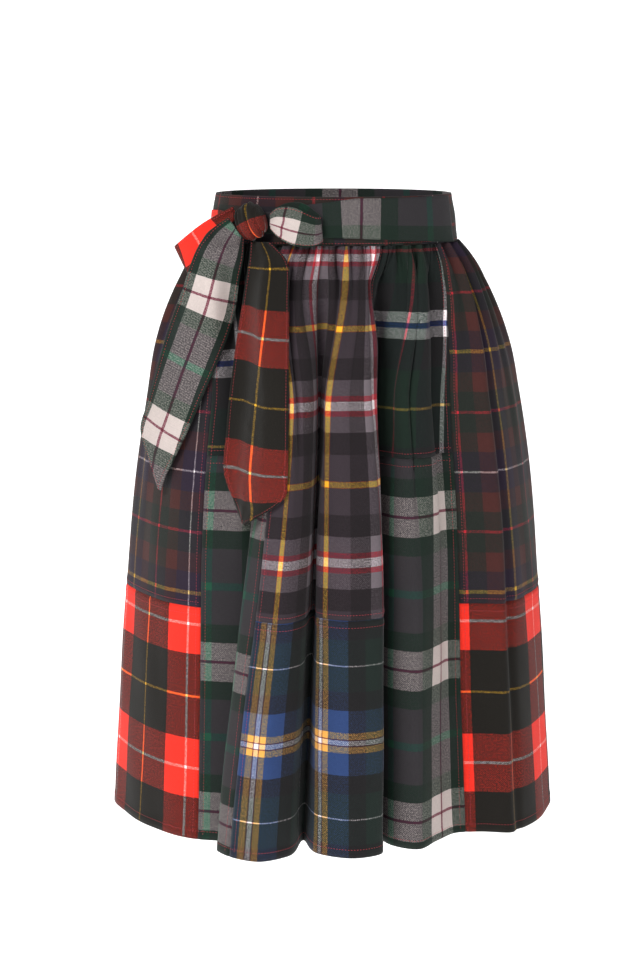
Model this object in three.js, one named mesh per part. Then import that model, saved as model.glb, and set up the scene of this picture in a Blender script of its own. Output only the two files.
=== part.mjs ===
// A gathered patchwork skirt on a waistband, with a two-coloured belt tied in a bow.
// Millimetres, +Z up, the front faces -Y, the origin is at the middle of the waistband.
// Angles are in degrees round the skirt, 0 at the front and 90 at the right-hand side.

import * as THREE from "three";

// Cloth
const WALL = 1.6; // wall of one layer
const SEAM_GAP = 0.3; // between pieces that are sewn together
const LAY_GAP = 0.5; // between a piece and what it lies on
const TIE_WALL = 2; // the belt is sewn double

// Waistband, an oval ring that widens downwards
const BAND_TOP = 26;
const BAND_BOTTOM = -26;
const BAND_TOP_SIDE = 130; // half width at the top rim
const BAND_BOTTOM_SIDE = 137;
const BAND_TOP_FRONT = 98; // half depth at the top rim
const BAND_BOTTOM_FRONT = 101.5;
const BAND_WALL = 2.6;
const BAND_BULGE = 0.8; // the band's middle stands out a little
const BAND_STEPS = 72;

// Skirt
const HEM = -670;
const PATCH_SEAM_HIGH = -250; // between the patches of the narrow columns
const PATCH_SEAM_LOW = -415; // between the patches of the wide columns
const FIRST_SEAM = 31; // cloth from the left edge of the first fold to the centre front column
const HIP = -240; // height where the folds' hip angles hold
const FAN_OUT = 0.8; // share of the way down to the hip at which the folds reach those angles

// The columns of cloth, going round from the centre front, and their cut widths
const COLUMNS = [
  { name: "centre_front", width: 300, seam: PATCH_SEAM_LOW },
  { name: "front_right", width: 203, seam: PATCH_SEAM_HIGH },
  { name: "side_right", width: 372, seam: PATCH_SEAM_LOW },
  { name: "back_right", width: 203, seam: PATCH_SEAM_HIGH },
  { name: "centre_back", width: 300, seam: PATCH_SEAM_LOW },
  { name: "back_left", width: 203, seam: PATCH_SEAM_HIGH },
  { name: "side_left", width: 372, seam: PATCH_SEAM_LOW },
  { name: "front_left", width: 203, seam: PATCH_SEAM_HIGH },
];
const CLOTH = COLUMNS.reduce((sum, column) => sum + column.width, 0);

// The skirt's outline, from the waist to the hem: half width and half depth
const OUTLINE = [
  { z: -26, side: 136, front: 101 },
  { z: -36, side: 145, front: 108 },
  { z: -53, side: 158, front: 120 },
  { z: -71, side: 168, front: 130 },
  { z: -106, side: 184, front: 145 },
  { z: -142, side: 196, front: 156 },
  { z: -196, side: 207, front: 167 },
  { z: -250, side: 216, front: 176 },
  { z: -341, side: 227, front: 187 },
  { z: -433, side: 234.5, front: 195 },
  { z: -526, side: 241, front: 202 },
  { z: -619, side: 246.6, front: 207.5 },
  { z: -670, side: 249.5, front: 210 },
];

// The folds, going round from the front left. Each has a left edge, a crest, a right edge and the
// valley after it. hem and hip are angles at those heights; out is how far the cloth stands out
// from the outline at the hem, and less so higher up.
const FOLDS = [
  {
    name: "front left",
    edge: { hip: -22, hem: -30.5, out: 0 },
    crest: { hip: -10, hem: -16, out: 26 },
    fall: { hip: -6.9, hem: -11.4, out: 0 },
    valley: { hip: -5.4, hem: -10.6, out: -66 },
  },
  {
    name: "centre",
    edge: { hip: -3.2, hem: -4, out: -14 },
    crest: { hip: 4.6, hem: 4.5, out: 4 },
    fall: { hip: 12.6, hem: 11.5, out: -8 },
    valley: { hip: 16.4, hem: 16, out: -92 },
  },
  {
    name: "front right",
    edge: { hip: 20, hem: 18.5, out: -36 },
    crest: { hip: 25, hem: 23, out: -16 },
    fall: { hip: 37.5, hem: 33, out: -38 },
    valley: { hip: 45, hem: 44, out: -50 },
  },
  {
    name: "side right front",
    edge: { hip: 50, hem: 50, out: -35 },
    crest: { hip: 56, hem: 55, out: -9 },
    fall: { hip: 64, hem: 63, out: -7 },
    valley: { hip: 78, hem: 80, out: -6 },
  },
  {
    name: "side right back",
    edge: { hip: 95, hem: 95, out: 1 },
    crest: { hip: 110, hem: 111, out: -3 },
    fall: { hip: 121, hem: 124, out: -8 },
    valley: { hip: 131, hem: 131, out: -40 },
  },
  {
    name: "back right",
    edge: { hip: 140, hem: 138, out: -14 },
    crest: { hip: 145, hem: 144, out: 6 },
    fall: { hip: 151, hem: 151, out: -8 },
    valley: { hip: 154, hem: 152, out: -58 },
  },
  {
    name: "centre back right",
    edge: { hip: 158, hem: 156, out: -14 },
    crest: { hip: 164, hem: 163, out: 12 },
    fall: { hip: 169, hem: 170, out: -4 },
    valley: { hip: 171, hem: 170.5, out: -62 },
  },
  {
    name: "centre back",
    edge: { hip: 175, hem: 174, out: -14 },
    crest: { hip: 180, hem: 180, out: 14 },
    fall: { hip: 187, hem: 188, out: -2 },
    valley: { hip: 190, hem: 188.5, out: -58 },
  },
  {
    name: "back left",
    edge: { hip: 194, hem: 192, out: -18 },
    crest: { hip: 201, hem: 200, out: 8 },
    fall: { hip: 207, hem: 208, out: -8 },
    valley: { hip: 210, hem: 209, out: -54 },
  },
  {
    name: "back left side",
    edge: { hip: 214, hem: 213, out: -20 },
    crest: { hip: 220, hem: 220, out: 0 },
    fall: { hip: 226, hem: 228, out: -18 },
    valley: { hip: 232, hem: 235, out: -30 },
  },
  {
    name: "side left back",
    edge: { hip: 243, hem: 244, out: -8 },
    crest: { hip: 254, hem: 254, out: 2 },
    fall: { hip: 266, hem: 265, out: 3 },
    valley: { hip: 280, hem: 280, out: -10 },
  },
  {
    name: "side left front",
    edge: { hip: 298, hem: 299, out: -16 },
    crest: { hip: 313, hem: 316, out: -20 },
    fall: { hip: 328, hem: 332, out: -40 },
    valley: { hip: 334.5, hem: 343.5, out: -54 },
  },
];

// Gathers at the waist
const GATHERS = 48;
const GATHER_DEPTH = 3.4; // crest to middle, at the seam
const GATHER_SHORTEST = 45; // how far down the shortest and the longest ones run
const GATHER_LONGEST = 150;
// Slow waves round the skirt that make the gathers uneven: how many, how strong, and from where
const GATHER_SHIFTS = [{ waves: 3, size: 1.3, start: 0.4 }, { waves: 7, size: 0.9, start: 2 }];
const GATHER_SIZES = { waves: 11, size: 0.25, start: 1 };
const GATHER_LENGTHS = { waves: 13, size: 0.5, start: 0.7 };

// Pleats that the gathers press into the cloth between the folds: where in the cloth, how deep,
// and how far below the waist they run. Each draws in the cloth beside it.
const PLEATS = [
  { cloth: 119, depth: 9, length: 90 },
  { cloth: 258, depth: 12, length: 210 },
  { cloth: 326, depth: 10, length: 80 },
  { cloth: 410, depth: 12, length: 250 },
  { cloth: 466, depth: 5, length: 150 },
  { cloth: 590, depth: 4, length: 110 },
  { cloth: 690, depth: 4, length: 130 },
  { cloth: 800, depth: 5, length: 120 },
  { cloth: 960, depth: 9, length: 190 },
  { cloth: 1078, depth: 11, length: 230 },
  { cloth: 1150, depth: 9, length: 150 },
  { cloth: 1262, depth: 12, length: 240 },
  { cloth: 1322, depth: 11, length: 160 },
  { cloth: 1455, depth: 11, length: 230 },
  { cloth: 1543, depth: 11, length: 180 },
  { cloth: 1745, depth: 4, length: 120 },
  { cloth: 1850, depth: 4, length: 130 },
  { cloth: 1930, depth: 5, length: 110 },
  { cloth: 2020, depth: 13, length: 210 },
  { cloth: 2126, depth: 12, length: 170 },
];
const PLEAT_WIDTH = 24; // of cloth, from the middle of a pleat to where it opens out
const PLEAT_CROWDING = 0.55; // how much of the cloth beside a deep pleat is drawn in
const DEEP_PLEAT = 16;

// Heights of the mesh rows, and the cloth between the points along them
const ROWS = [
  { z: BAND_BOTTOM, step: 9 },
  { z: -33, step: 9 },
  { z: -45, step: 9 },
  { z: -64, step: 10 },
  { z: -95, step: 11 },
  { z: -140, step: 12 },
  { z: -192, step: 12 },
  { z: PATCH_SEAM_HIGH, step: 12 },
  { z: -325, step: 14 },
  { z: PATCH_SEAM_LOW, step: 15 },
  { z: -500, step: 16 },
  { z: -585, step: 17 },
  { z: HEM, step: 17 },
];
const SIDE_STEP = 1.15; // the side columns hang plainer, and their points lie further apart
const TURN_POINTS = [-7.5, -2.5, 2.5, 7.5]; // cloth from a sharp turn to the points round it
const CLEAR_OF_TURN = 4; // between those and any other point
const TIGHT_PLEAT = 9; // depth from which a pleat counts as a sharp turn

const radians = THREE.MathUtils.degToRad;
const smooth = (x) => THREE.MathUtils.smoothstep(x, 0, 1);
const blend = THREE.MathUtils.lerp;

// Reads the outline at a height, on a smooth curve through its rows.
function outlineAt(z) {
  let i = OUTLINE.findIndex((row) => row.z <= z);
  i = i < 1 ? 1 : i;
  const last = OUTLINE.length - 1;
  const rows = [i - 2, i - 1, i, i + 1].map((n) => OUTLINE[Math.min(Math.max(n, 0), last)]);
  const t = THREE.MathUtils.clamp((z - rows[1].z) / (rows[2].z - rows[1].z), 0, 1);
  return {
    side: hermite(rows.map((row) => row.z), rows.map((row) => row.side), t),
    front: hermite(rows.map((row) => row.z), rows.map((row) => row.front), t),
  };
}

// A cubic through four uneven stations, read between the middle two at t from 0 to 1.
function hermite(at, value, t) {
  const slope = (i) => {
    const before = at[i] - at[i - 1];
    const after = at[i + 1] - at[i];
    if (before === 0) return (value[i + 1] - value[i]) / after;
    if (after === 0) return (value[i] - value[i - 1]) / before;
    const rise = (value[i] - value[i - 1]) / before;
    const next = (value[i + 1] - value[i]) / after;
    return (rise * after + next * before) / (before + after);
  };
  const span = at[2] - at[1];
  const tt = t * t;
  const ttt = tt * t;
  return (
    (2 * ttt - 3 * tt + 1) * value[1] +
    (ttt - 2 * tt + t) * span * slope(1) +
    (3 * tt - 2 * ttt) * value[2] +
    (ttt - tt) * span * slope(2)
  );
}

// A point of an oval, pushed out by a number of millimetres.
function onOval(angle, side, front, out) {
  const scale = 1 + out / ((side + front) / 2);
  const turn = radians(angle);
  return { x: side * scale * Math.sin(turn), y: -front * scale * Math.cos(turn) };
}

// The stations of the folds in order, with the cloth used up to each, measured along the hem.
function placeStations() {
  const stations = FOLDS.flatMap((fold) => [fold.edge, fold.crest, fold.fall, fold.valley]);
  const hem = outlineAt(HEM);
  const points = stations.map((s) => onOval(s.hem, hem.side, hem.front, s.out));
  const curve = new THREE.CatmullRomCurve3(
    points.map((p) => new THREE.Vector3(p.x, p.y, 0)), true, "centripetal",
  );
  const divisions = 40; // between two stations
  curve.arcLengthDivisions = divisions * stations.length;
  const lengths = curve.getLengths();
  const whole = lengths[lengths.length - 1];
  return stations.map((station, i) => ({
    ...station,
    cloth: (lengths[divisions * i] / whole) * CLOTH,
  }));
}

const STATIONS = placeStations();
const STATIONS_PER_FOLD = 4; // its edge, crest, fall and valley

// The share of the waist, from 0 to 1, at each of many even angles: the waist takes up cloth evenly.
const WAIST_SHARES = (() => {
  const shares = [0];
  for (let degree = 1; degree <= 360; degree += 1) {
    const a = onOval(degree - 1, OUTLINE[0].side, OUTLINE[0].front, 0);
    const b = onOval(degree, OUTLINE[0].side, OUTLINE[0].front, 0);
    shares.push(shares[degree - 1] + Math.hypot(a.x - b.x, a.y - b.y));
  }
  return shares.map((share) => share / shares[360]);
})();

// Cloth at the left edge of the first fold, as a share of the waist before the front.
const WAIST_START = -0.086;

function waistAngle(cloth) {
  const share = WAIST_START + cloth / CLOTH;
  const turns = Math.floor(share);
  const part = share - turns;
  const degree = WAIST_SHARES.findIndex((s) => s > part);
  const before = WAIST_SHARES[degree - 1];
  return 360 * turns + degree - 1 + (part - before) / (WAIST_SHARES[degree] - before);
}

// The share of the folds' depth on the way down
const FOLD_DEPTHS = [
  { z: -26, share: 0 },
  { z: -60, share: 0.26 },
  { z: -110, share: 0.52 },
  { z: -240, share: 0.78 },
  { z: -520, share: 1 },
  { z: HEM, share: 1 },
];

function foldShare(z) {
  const i = Math.max(1, FOLD_DEPTHS.findIndex((row) => row.z <= z));
  const [above, below] = [FOLD_DEPTHS[i - 1], FOLD_DEPTHS[i]];
  const t = THREE.MathUtils.clamp((z - above.z) / (below.z - above.z), 0, 1);
  return blend(above.share, below.share, t);
}

// Where a station lies at a height.
function stationAt(station, cloth, turns, outline, z) {
  const down = (BAND_BOTTOM - z) / (BAND_BOTTOM - HIP);
  const below = (HIP - z) / (HIP - HEM);
  const hip = station.hip + 360 * turns;
  const hem = station.hem + 360 * turns;
  const angle = z > HIP
    ? blend(waistAngle(cloth), hip, smooth(Math.min(1, down / FAN_OUT)))
    : blend(hip, hem, smooth(below) * 0.5 + below * 0.5);
  return onOval(angle, outline.side, outline.front, station.out * foldShare(z));
}

// The smooth skirt without its gathers, at a place in the cloth and a height.
function foldedCloth(cloth, z) {
  const outline = outlineAt(z);
  const count = STATIONS.length;
  const turns = Math.floor(cloth / CLOTH);
  const part = cloth - turns * CLOTH;
  let i = STATIONS.findIndex((s) => s.cloth > part) - 1;
  if (i < -1) i = count - 1;
  const near = [i - 1, i, i + 1, i + 2].map((n) => {
    const extra = Math.floor(n / count);
    const station = STATIONS[n - extra * count];
    const at = station.cloth + (extra + turns) * CLOTH;
    return { at, ...stationAt(station, at, extra + turns, outline, z) };
  });
  const at = near.map((n) => n.at);
  const t = (cloth - at[1]) / (at[2] - at[1]);
  return {
    x: hermite(at, near.map((n) => n.x), t),
    y: hermite(at, near.map((n) => n.y), t),
  };
}

// The level direction out of a curve of places along the cloth.
function outward(place, cloth, z) {
  const near = 3;
  const a = place(cloth - near, z);
  const b = place(cloth + near, z);
  const length = Math.hypot(b.x - a.x, b.y - a.y);
  return { x: (b.y - a.y) / length, y: -(b.x - a.x) / length };
}

// The skirt with its folds and pleats, without the gathers.
function pleatedCloth(cloth, z) {
  const down = BAND_BOTTOM - z;
  let drawn = 0;
  let depth = 0;
  for (const pleat of PLEATS) {
    const turns = Math.round((cloth - pleat.cloth) / CLOTH);
    const off = cloth - pleat.cloth - turns * CLOTH;
    const along = Math.min(1, down / 40) * Math.exp(-((down / pleat.length) ** 4));
    const across = Math.exp(-((off / PLEAT_WIDTH) ** 2)) * along;
    drawn += (off * across * PLEAT_CROWDING * pleat.depth) / DEEP_PLEAT;
    depth += pleat.depth * across;
  }
  const base = foldedCloth(cloth - drawn, z);
  const normal = outward(foldedCloth, cloth - drawn, z);
  return { x: base.x - normal.x * depth, y: base.y - normal.y * depth };
}

// How far the gathers push the cloth out.
function gatherDepth(cloth, z) {
  const turn = (2 * Math.PI * cloth) / CLOTH;
  const wave = (row) => row.size * Math.sin(row.waves * turn + row.start);
  const phase = GATHERS * turn + wave(GATHER_SHIFTS[0]) + wave(GATHER_SHIFTS[1]);
  const size = 1 - GATHER_SIZES.size + wave(GATHER_SIZES);
  const length = blend(GATHER_SHORTEST, GATHER_LONGEST, 0.5 + wave(GATHER_LENGTHS));
  const down = BAND_BOTTOM - z;
  return GATHER_DEPTH * size * Math.cos(phase) * Math.exp(-((down / length) ** 2));
}

// A point of the skirt, moved inwards, and to the right round it, by numbers of millimetres.
function skirtPoint(cloth, z, inwards, right = 0) {
  const base = pleatedCloth(cloth, z);
  const normal = outward(pleatedCloth, cloth, z);
  const out = gatherDepth(cloth, z) - inwards;
  return new THREE.Vector3(
    base.x + normal.x * out - normal.y * right, base.y + normal.y * out + normal.x * right, z,
  );
}

// A closed sheet through rows of points: each row holds pairs of an outer and an inner point, and
// at, the place of each pair along the row. Rows may have different numbers of pairs.
function sheetGeometry(rows) {
  const points = [];
  const grid = rows.map((row) => row.map((pair) => {
    points.push(pair.outer, pair.inner);
    return { at: pair.at, outer: points.length - 2, inner: points.length - 1 };
  }));
  const faces = [];
  const both = (a, b, c) => {
    faces.push(a.outer, b.outer, c.outer);
    faces.push(a.inner, c.inner, b.inner);
  };
  for (let r = 0; r + 1 < grid.length; r += 1) {
    const [upper, lower] = [grid[r], grid[r + 1]];
    let [i, j] = [0, 0];
    while (i + 1 < upper.length || j + 1 < lower.length) {
      const turnUpper = j + 1 === lower.length
        || (i + 1 < upper.length && upper[i + 1].at <= lower[j + 1].at + 1e-9);
      if (turnUpper) {
        both(upper[i], lower[j], upper[i + 1]);
        i += 1;
      } else {
        both(upper[i], lower[j], lower[j + 1]);
        j += 1;
      }
    }
  }
  const wall = (a, b) => faces.push(a.outer, b.outer, b.inner, a.outer, b.inner, a.inner);
  const top = grid[0];
  const bottom = grid[grid.length - 1];
  for (let i = 0; i + 1 < top.length; i += 1) wall(top[i], top[i + 1]);
  for (let i = 0; i + 1 < bottom.length; i += 1) wall(bottom[i + 1], bottom[i]);
  for (let r = 0; r + 1 < grid.length; r += 1) {
    wall(grid[r + 1][0], grid[r][0]);
    wall(grid[r][grid[r].length - 1], grid[r + 1][grid[r + 1].length - 1]);
  }
  const geometry = new THREE.BufferGeometry();
  geometry.setAttribute(
    "position", new THREE.Float32BufferAttribute(points.flatMap((p) => [p.x, p.y, p.z]), 3),
  );
  geometry.setIndex(faces);
  geometry.computeVertexNormals();
  return geometry;
}

// The places in the cloth where a fold or a deep pleat turns sharply at a height.
function sharpTurns(z) {
  const valleys = STATIONS.filter((_, i) => i % STATIONS_PER_FOLD === STATIONS_PER_FOLD - 1);
  const pleats = PLEATS.filter((p) => p.depth >= TIGHT_PLEAT && BAND_BOTTOM - z < p.length);
  return [...valleys, ...pleats].map((turn) => turn.cloth);
}

// Where the points of a row lie in a patch: evenly, and closer round each sharp turn.
function rowPlaces(from, width, z, step) {
  const round = sharpTurns(z)
    .flatMap((turn) => [turn, turn + CLOTH])
    .flatMap((turn) => TURN_POINTS.map((off) => turn + off))
    .filter((place) => place > from + CLEAR_OF_TURN && place < from + width - CLEAR_OF_TURN);
  const count = Math.round(width / step);
  const even = Array.from({ length: count + 1 }, (_, i) => from + (width * i) / count)
    .filter((place, i) => i === 0 || i === count
      || round.every((other) => Math.abs(other - place) > CLEAR_OF_TURN));
  return [...even, ...round].sort((a, b) => a - b);
}

// One patch of a column, between two heights.
function patchGeometry(from, width, top, bottom, spread) {
  const heights = ROWS.filter((row) => row.z <= top && row.z >= bottom);
  const rows = heights.map(({ z, step }, n) => {
    const height = z + (n === 0 ? -SEAM_GAP / 2 : 0) + (n === heights.length - 1 ? SEAM_GAP / 2 : 0);
    const places = rowPlaces(from, width, z, step * spread);
    const last = places.length - 1;
    return places.map((cloth, i) => {
      const right = (i === 0 ? SEAM_GAP / 2 : 0) - (i === last ? SEAM_GAP / 2 : 0);
      return {
        at: (cloth - from) / width,
        outer: skirtPoint(cloth, height, 0, right),
        inner: skirtPoint(cloth, height, WALL, right),
      };
    });
  });
  return sheetGeometry(rows);
}

// The waistband's outside, at an angle and a height, moved out by a number of millimetres.
function bandPoint(angle, z, out) {
  const t = (BAND_TOP - z) / (BAND_TOP - BAND_BOTTOM);
  const side = blend(BAND_TOP_SIDE, BAND_BOTTOM_SIDE, t) + out;
  const front = blend(BAND_TOP_FRONT, BAND_BOTTOM_FRONT, t) + out;
  const turn = radians(angle);
  return new THREE.Vector3(side * Math.sin(turn), -front * Math.cos(turn), z);
}

// A ring as one closed profile turned round the oval.
function bandGeometry() {
  const bottom = BAND_BOTTOM + SEAM_GAP / 2;
  const profile = [
    [BAND_TOP, 0], [(BAND_TOP + bottom) / 2, BAND_BULGE], [bottom, 0],
    [bottom, -BAND_WALL], [(BAND_TOP + bottom) / 2, BAND_BULGE - BAND_WALL], [BAND_TOP, -BAND_WALL],
  ];
  const points = [];
  const faces = [];
  for (let i = 0; i < BAND_STEPS; i += 1) {
    for (const [z, out] of profile) points.push(bandPoint((360 * i) / BAND_STEPS, z, out));
  }
  const count = profile.length;
  for (let i = 0; i < BAND_STEPS; i += 1) {
    const next = (i + 1) % BAND_STEPS;
    for (let j = 0; j < count; j += 1) {
      const k = (j + 1) % count;
      const [a, b, c, d] = [i * count + j, i * count + k, next * count + k, next * count + j];
      faces.push(a, b, c, a, c, d);
    }
  }
  const geometry = new THREE.BufferGeometry();
  geometry.setAttribute(
    "position", new THREE.Float32BufferAttribute(points.flatMap((p) => [p.x, p.y, p.z]), 3),
  );
  geometry.setIndex(faces);
  geometry.computeVertexNormals();
  return geometry;
}

// The belt

const STRAP_LIFT = BAND_BULGE + LAY_GAP;

// A strap that lies on the waistband, between two angles: rows give its upper and lower edges.
function strapGeometry(rows, steps, across) {
  const list = [];
  for (let i = 0; i <= across; i += 1) {
    const row = [];
    for (let n = 0; n <= steps; n += 1) {
      const angle = blend(rows[0].angle, rows[rows.length - 1].angle, n / steps);
      let k = rows.findIndex((r) => r.angle > angle);
      k = k < 1 ? rows.length - 1 : k;
      const t = (angle - rows[k - 1].angle) / (rows[k].angle - rows[k - 1].angle);
      const top = blend(rows[k - 1].top, rows[k].top, t);
      const bottom = blend(rows[k - 1].bottom, rows[k].bottom, t);
      const z = blend(top, bottom, i / across);
      row.push({
        at: n / steps,
        outer: bandPoint(angle, z, STRAP_LIFT + TIE_WALL),
        inner: bandPoint(angle, z, STRAP_LIFT),
      });
    }
    list.push(row);
  }
  return sheetGeometry(list);
}

// The tie over the right half of the waistband, whose right end is sewn into the side
const RIGHT_STRAP = [
  { angle: -47, top: 8, bottom: -12 },
  { angle: -28, top: 10, bottom: -14 },
  { angle: -12, top: 18, bottom: -17 },
  { angle: 10, top: 24.5, bottom: -18 },
  { angle: 40, top: 25, bottom: -22 },
  { angle: 62, top: 25, bottom: -25 },
  { angle: 70, top: 24.5, bottom: -25.5 },
];

// The short stretch of the red tie between the bow and the left side
const LEFT_STRAP = [
  { angle: -82, top: 8, bottom: -18 },
  { angle: -66, top: 9, bottom: -16 },
  { angle: -49, top: 4, bottom: -14 },
];

// A hanging tie bridges the valleys of the skirt that are this narrow, and sags a little into them
const BRIDGE = 12;
const SAG = 4;
const TIES_FROM = -480; // the stretch of cloth that the ties hang over
const TIES_TO = 440;
const BAND_TURN = 0.95; // share of the band's half width beyond which it faces the side

// How far forward the waistband, or the skirt below it, reaches at a place seen from the front.
function frontReach(x, z) {
  const side = blend(BAND_TOP_SIDE, BAND_BOTTOM_SIDE, (BAND_TOP - z) / (BAND_TOP - BAND_BOTTOM));
  const share = Math.min(BAND_TURN, Math.abs(x) / side);
  const band = BAND_BOTTOM_FRONT * Math.sqrt(1 - share * share) + BAND_BULGE;
  if (z > BAND_BOTTOM) return band;
  let reach = 0;
  for (let cloth = TIES_FROM; cloth < TIES_TO; cloth += 5) {
    const p = skirtPoint(cloth, z, 0);
    const off = (p.x - x) / BRIDGE;
    if (Math.abs(off) < 1) reach = Math.max(reach, -p.y - SAG * off * off);
  }
  return Math.max(reach, z > BAND_BOTTOM - BRIDGE ? band : 0);
}

// Points between the rows of a table of edges, on smooth curves along both edges.
function edgeRows(rows, perGap) {
  const curveOf = (edge) => new THREE.CatmullRomCurve3(
    rows.map((row) => new THREE.Vector3(row[edge].x, row[edge].lift, row[edge].z)),
  );
  const [first, second] = [curveOf("left"), curveOf("right")];
  const count = (rows.length - 1) * perGap;
  return Array.from({ length: count + 1 }, (unused, n) => {
    const k = Math.min(Math.floor(n / perGap), rows.length - 2);
    return {
      left: first.getPoint(n / count),
      right: second.getPoint(n / count),
      crown: blend(rows[k].crown, rows[k + 1].crown, n / perGap - k),
    };
  });
}

// A sewn band of cloth through a grid of points, half its wall to each side of them.
function ribbonGeometry(grid, wall) {
  const list = grid.map((row, r) => row.map((point, i) => {
    const before = grid[Math.max(r - 1, 0)][i];
    const after = grid[Math.min(r + 1, grid.length - 1)][i];
    const along = new THREE.Vector3().subVectors(after, before);
    const across = new THREE.Vector3().subVectors(
      row[Math.min(i + 1, row.length - 1)], row[Math.max(i - 1, 0)],
    );
    const normal = along.cross(across).setLength(wall / 2);
    return {
      at: i / (row.length - 1),
      outer: point.clone().add(normal),
      inner: point.clone().sub(normal),
    };
  }));
  return sheetGeometry(list);
}

// A tie or one layer of a bow, given by its left and right edges. lift is its distance in front of
// what it hangs on, and crown how far its middle stands out in front of its edges.
function tieGeometry(rows, perGap, across) {
  const grid = edgeRows(rows, perGap).map((row) => {
    const line = [];
    for (let i = 0; i <= across; i += 1) {
      const t = i / across;
      const edge = new THREE.Vector3().lerpVectors(row.left, row.right, t);
      const reach = frontReach(edge.x, edge.z) + edge.y + row.crown * (1 - (2 * t - 1) ** 2);
      line.push(new THREE.Vector3(edge.x, -reach - TIE_WALL / 2, edge.z));
    }
    return line;
  });
  return ribbonGeometry(grid, TIE_WALL);
}

// A loop of the bow, given by the edges of its band as it goes out and comes back.
function loopGeometry(rows, perGap, across) {
  const grid = edgeRows(rows, perGap).map((row) => {
    const line = [];
    for (let i = 0; i <= across; i += 1) {
      const t = i / across;
      const edge = new THREE.Vector3().lerpVectors(row.left, row.right, t);
      line.push(new THREE.Vector3(edge.x, -edge.y, edge.z));
    }
    return line;
  });
  return ribbonGeometry(grid, TIE_WALL);
}

// The grey and green end, which hangs to the left
const LEFT_TIE = [
  { left: { x: -113, z: 4, lift: 37 }, right: { x: -97, z: -19, lift: 24 }, crown: 2 },
  { left: { x: -134, z: -11, lift: 64 }, right: { x: -97, z: -38, lift: 19 }, crown: 2 },
  { left: { x: -147, z: -30, lift: 54 }, right: { x: -101, z: -60, lift: 12 }, crown: 3 },
  { left: { x: -166, z: -82, lift: 27 }, right: { x: -108, z: -104, lift: 5 }, crown: 3 },
  { left: { x: -180, z: -119, lift: 5 }, right: { x: -124, z: -148, lift: 3 }, crown: 3 },
  { left: { x: -191, z: -155, lift: 3 }, right: { x: -140, z: -184, lift: 3 }, crown: 3 },
  { left: { x: -203, z: -198, lift: 3 }, right: { x: -157, z: -223, lift: 3 }, crown: 3 },
  { left: { x: -213, z: -232, lift: 3 }, right: { x: -174, z: -258, lift: 3 }, crown: 2 },
  { left: { x: -203, z: -264, lift: 3 }, right: { x: -183, z: -276, lift: 3 }, crown: 1 },
  { left: { x: -192, z: -291, lift: 3 }, right: { x: -188.5, z: -293, lift: 3 }, crown: 0 },
];

// The red and black end, which hangs straight down
const LOWER_TIE = [
  { left: { x: -89, z: -22, lift: 8 }, right: { x: -68, z: -22, lift: 8 }, crown: 3 },
  { left: { x: -91, z: -42, lift: 8 }, right: { x: -50, z: -42, lift: 8 }, crown: 4 },
  { left: { x: -97, z: -80, lift: 5 }, right: { x: -48, z: -80, lift: 5 }, crown: 4 },
  { left: { x: -105, z: -131, lift: 1.7 }, right: { x: -48, z: -131, lift: 1.7 }, crown: 4 },
  { left: { x: -112, z: -183, lift: 1.7 }, right: { x: -48, z: -183, lift: 1.7 }, crown: 4 },
  { left: { x: -116, z: -228, lift: 1.7 }, right: { x: -48, z: -228, lift: 1.7 }, crown: 4 },
  { left: { x: -118, z: -267, lift: 1.7 }, right: { x: -49, z: -265, lift: 1.7 }, crown: 3 },
  { left: { x: -109, z: -293, lift: 1.7 }, right: { x: -51, z: -281, lift: 1.7 }, crown: 2 },
  { left: { x: -99, z: -315, lift: 1.7 }, right: { x: -95, z: -315, lift: 1.7 }, crown: 0 },
];

// The loops: here lift is the distance from the origin towards the front
const RIGHT_LOOP = [
  { left: { x: -68, z: -8, lift: 100 }, right: { x: -68, z: 8, lift: 100 }, crown: 0 },
  { left: { x: -60, z: -16, lift: 107 }, right: { x: -60, z: 15, lift: 107 }, crown: 0 },
  { left: { x: -44, z: -24, lift: 116 }, right: { x: -45, z: 16, lift: 114 }, crown: 0 },
  { left: { x: -28, z: -26, lift: 119 }, right: { x: -31, z: 11, lift: 116 }, crown: 0 },
  { left: { x: -17, z: -24, lift: 118 }, right: { x: -20, z: 6, lift: 115 }, crown: 0 },
  { left: { x: -12.5, z: -20, lift: 112 }, right: { x: -15, z: 6, lift: 110 }, crown: 0 },
  { left: { x: -20, z: -15, lift: 107 }, right: { x: -21, z: 12, lift: 106 }, crown: 0 },
  { left: { x: -34, z: -10, lift: 105 }, right: { x: -34, z: 20, lift: 105 }, crown: 0 },
  { left: { x: -50, z: -9, lift: 101 }, right: { x: -50, z: 20, lift: 101 }, crown: 0 },
  { left: { x: -66, z: -7, lift: 92.2 }, right: { x: -66, z: 12, lift: 91.9 }, crown: 0 },
];

const LEFT_LOOP = [
  { left: { x: -108, z: 15, lift: 78 }, right: { x: -107, z: -14, lift: 84 }, crown: 0 },
  { left: { x: -122, z: 8, lift: 75 }, right: { x: -112, z: -34, lift: 88 }, crown: 0 },
  { left: { x: -142, z: -4, lift: 67 }, right: { x: -124, z: -56, lift: 91 }, crown: 0 },
  { left: { x: -162, z: -20, lift: 57 }, right: { x: -138, z: -70, lift: 91 }, crown: 0 },
  { left: { x: -173, z: -30, lift: 47 }, right: { x: -147, z: -77, lift: 84 }, crown: 0 },
  { left: { x: -171, z: -30, lift: 40 }, right: { x: -147, z: -77, lift: 77 }, crown: 0 },
  { left: { x: -158, z: -20, lift: 44 }, right: { x: -136, z: -70, lift: 82 }, crown: 0 },
  { left: { x: -140, z: -4, lift: 54 }, right: { x: -124, z: -52, lift: 82 }, crown: 0 },
  { left: { x: -124, z: 4, lift: 62 }, right: { x: -114, z: -30, lift: 77 }, crown: 0 },
  { left: { x: -107.5, z: 10, lift: 64.5 }, right: { x: -107.5, z: -12, lift: 66.5 }, crown: 0 },
];

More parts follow.
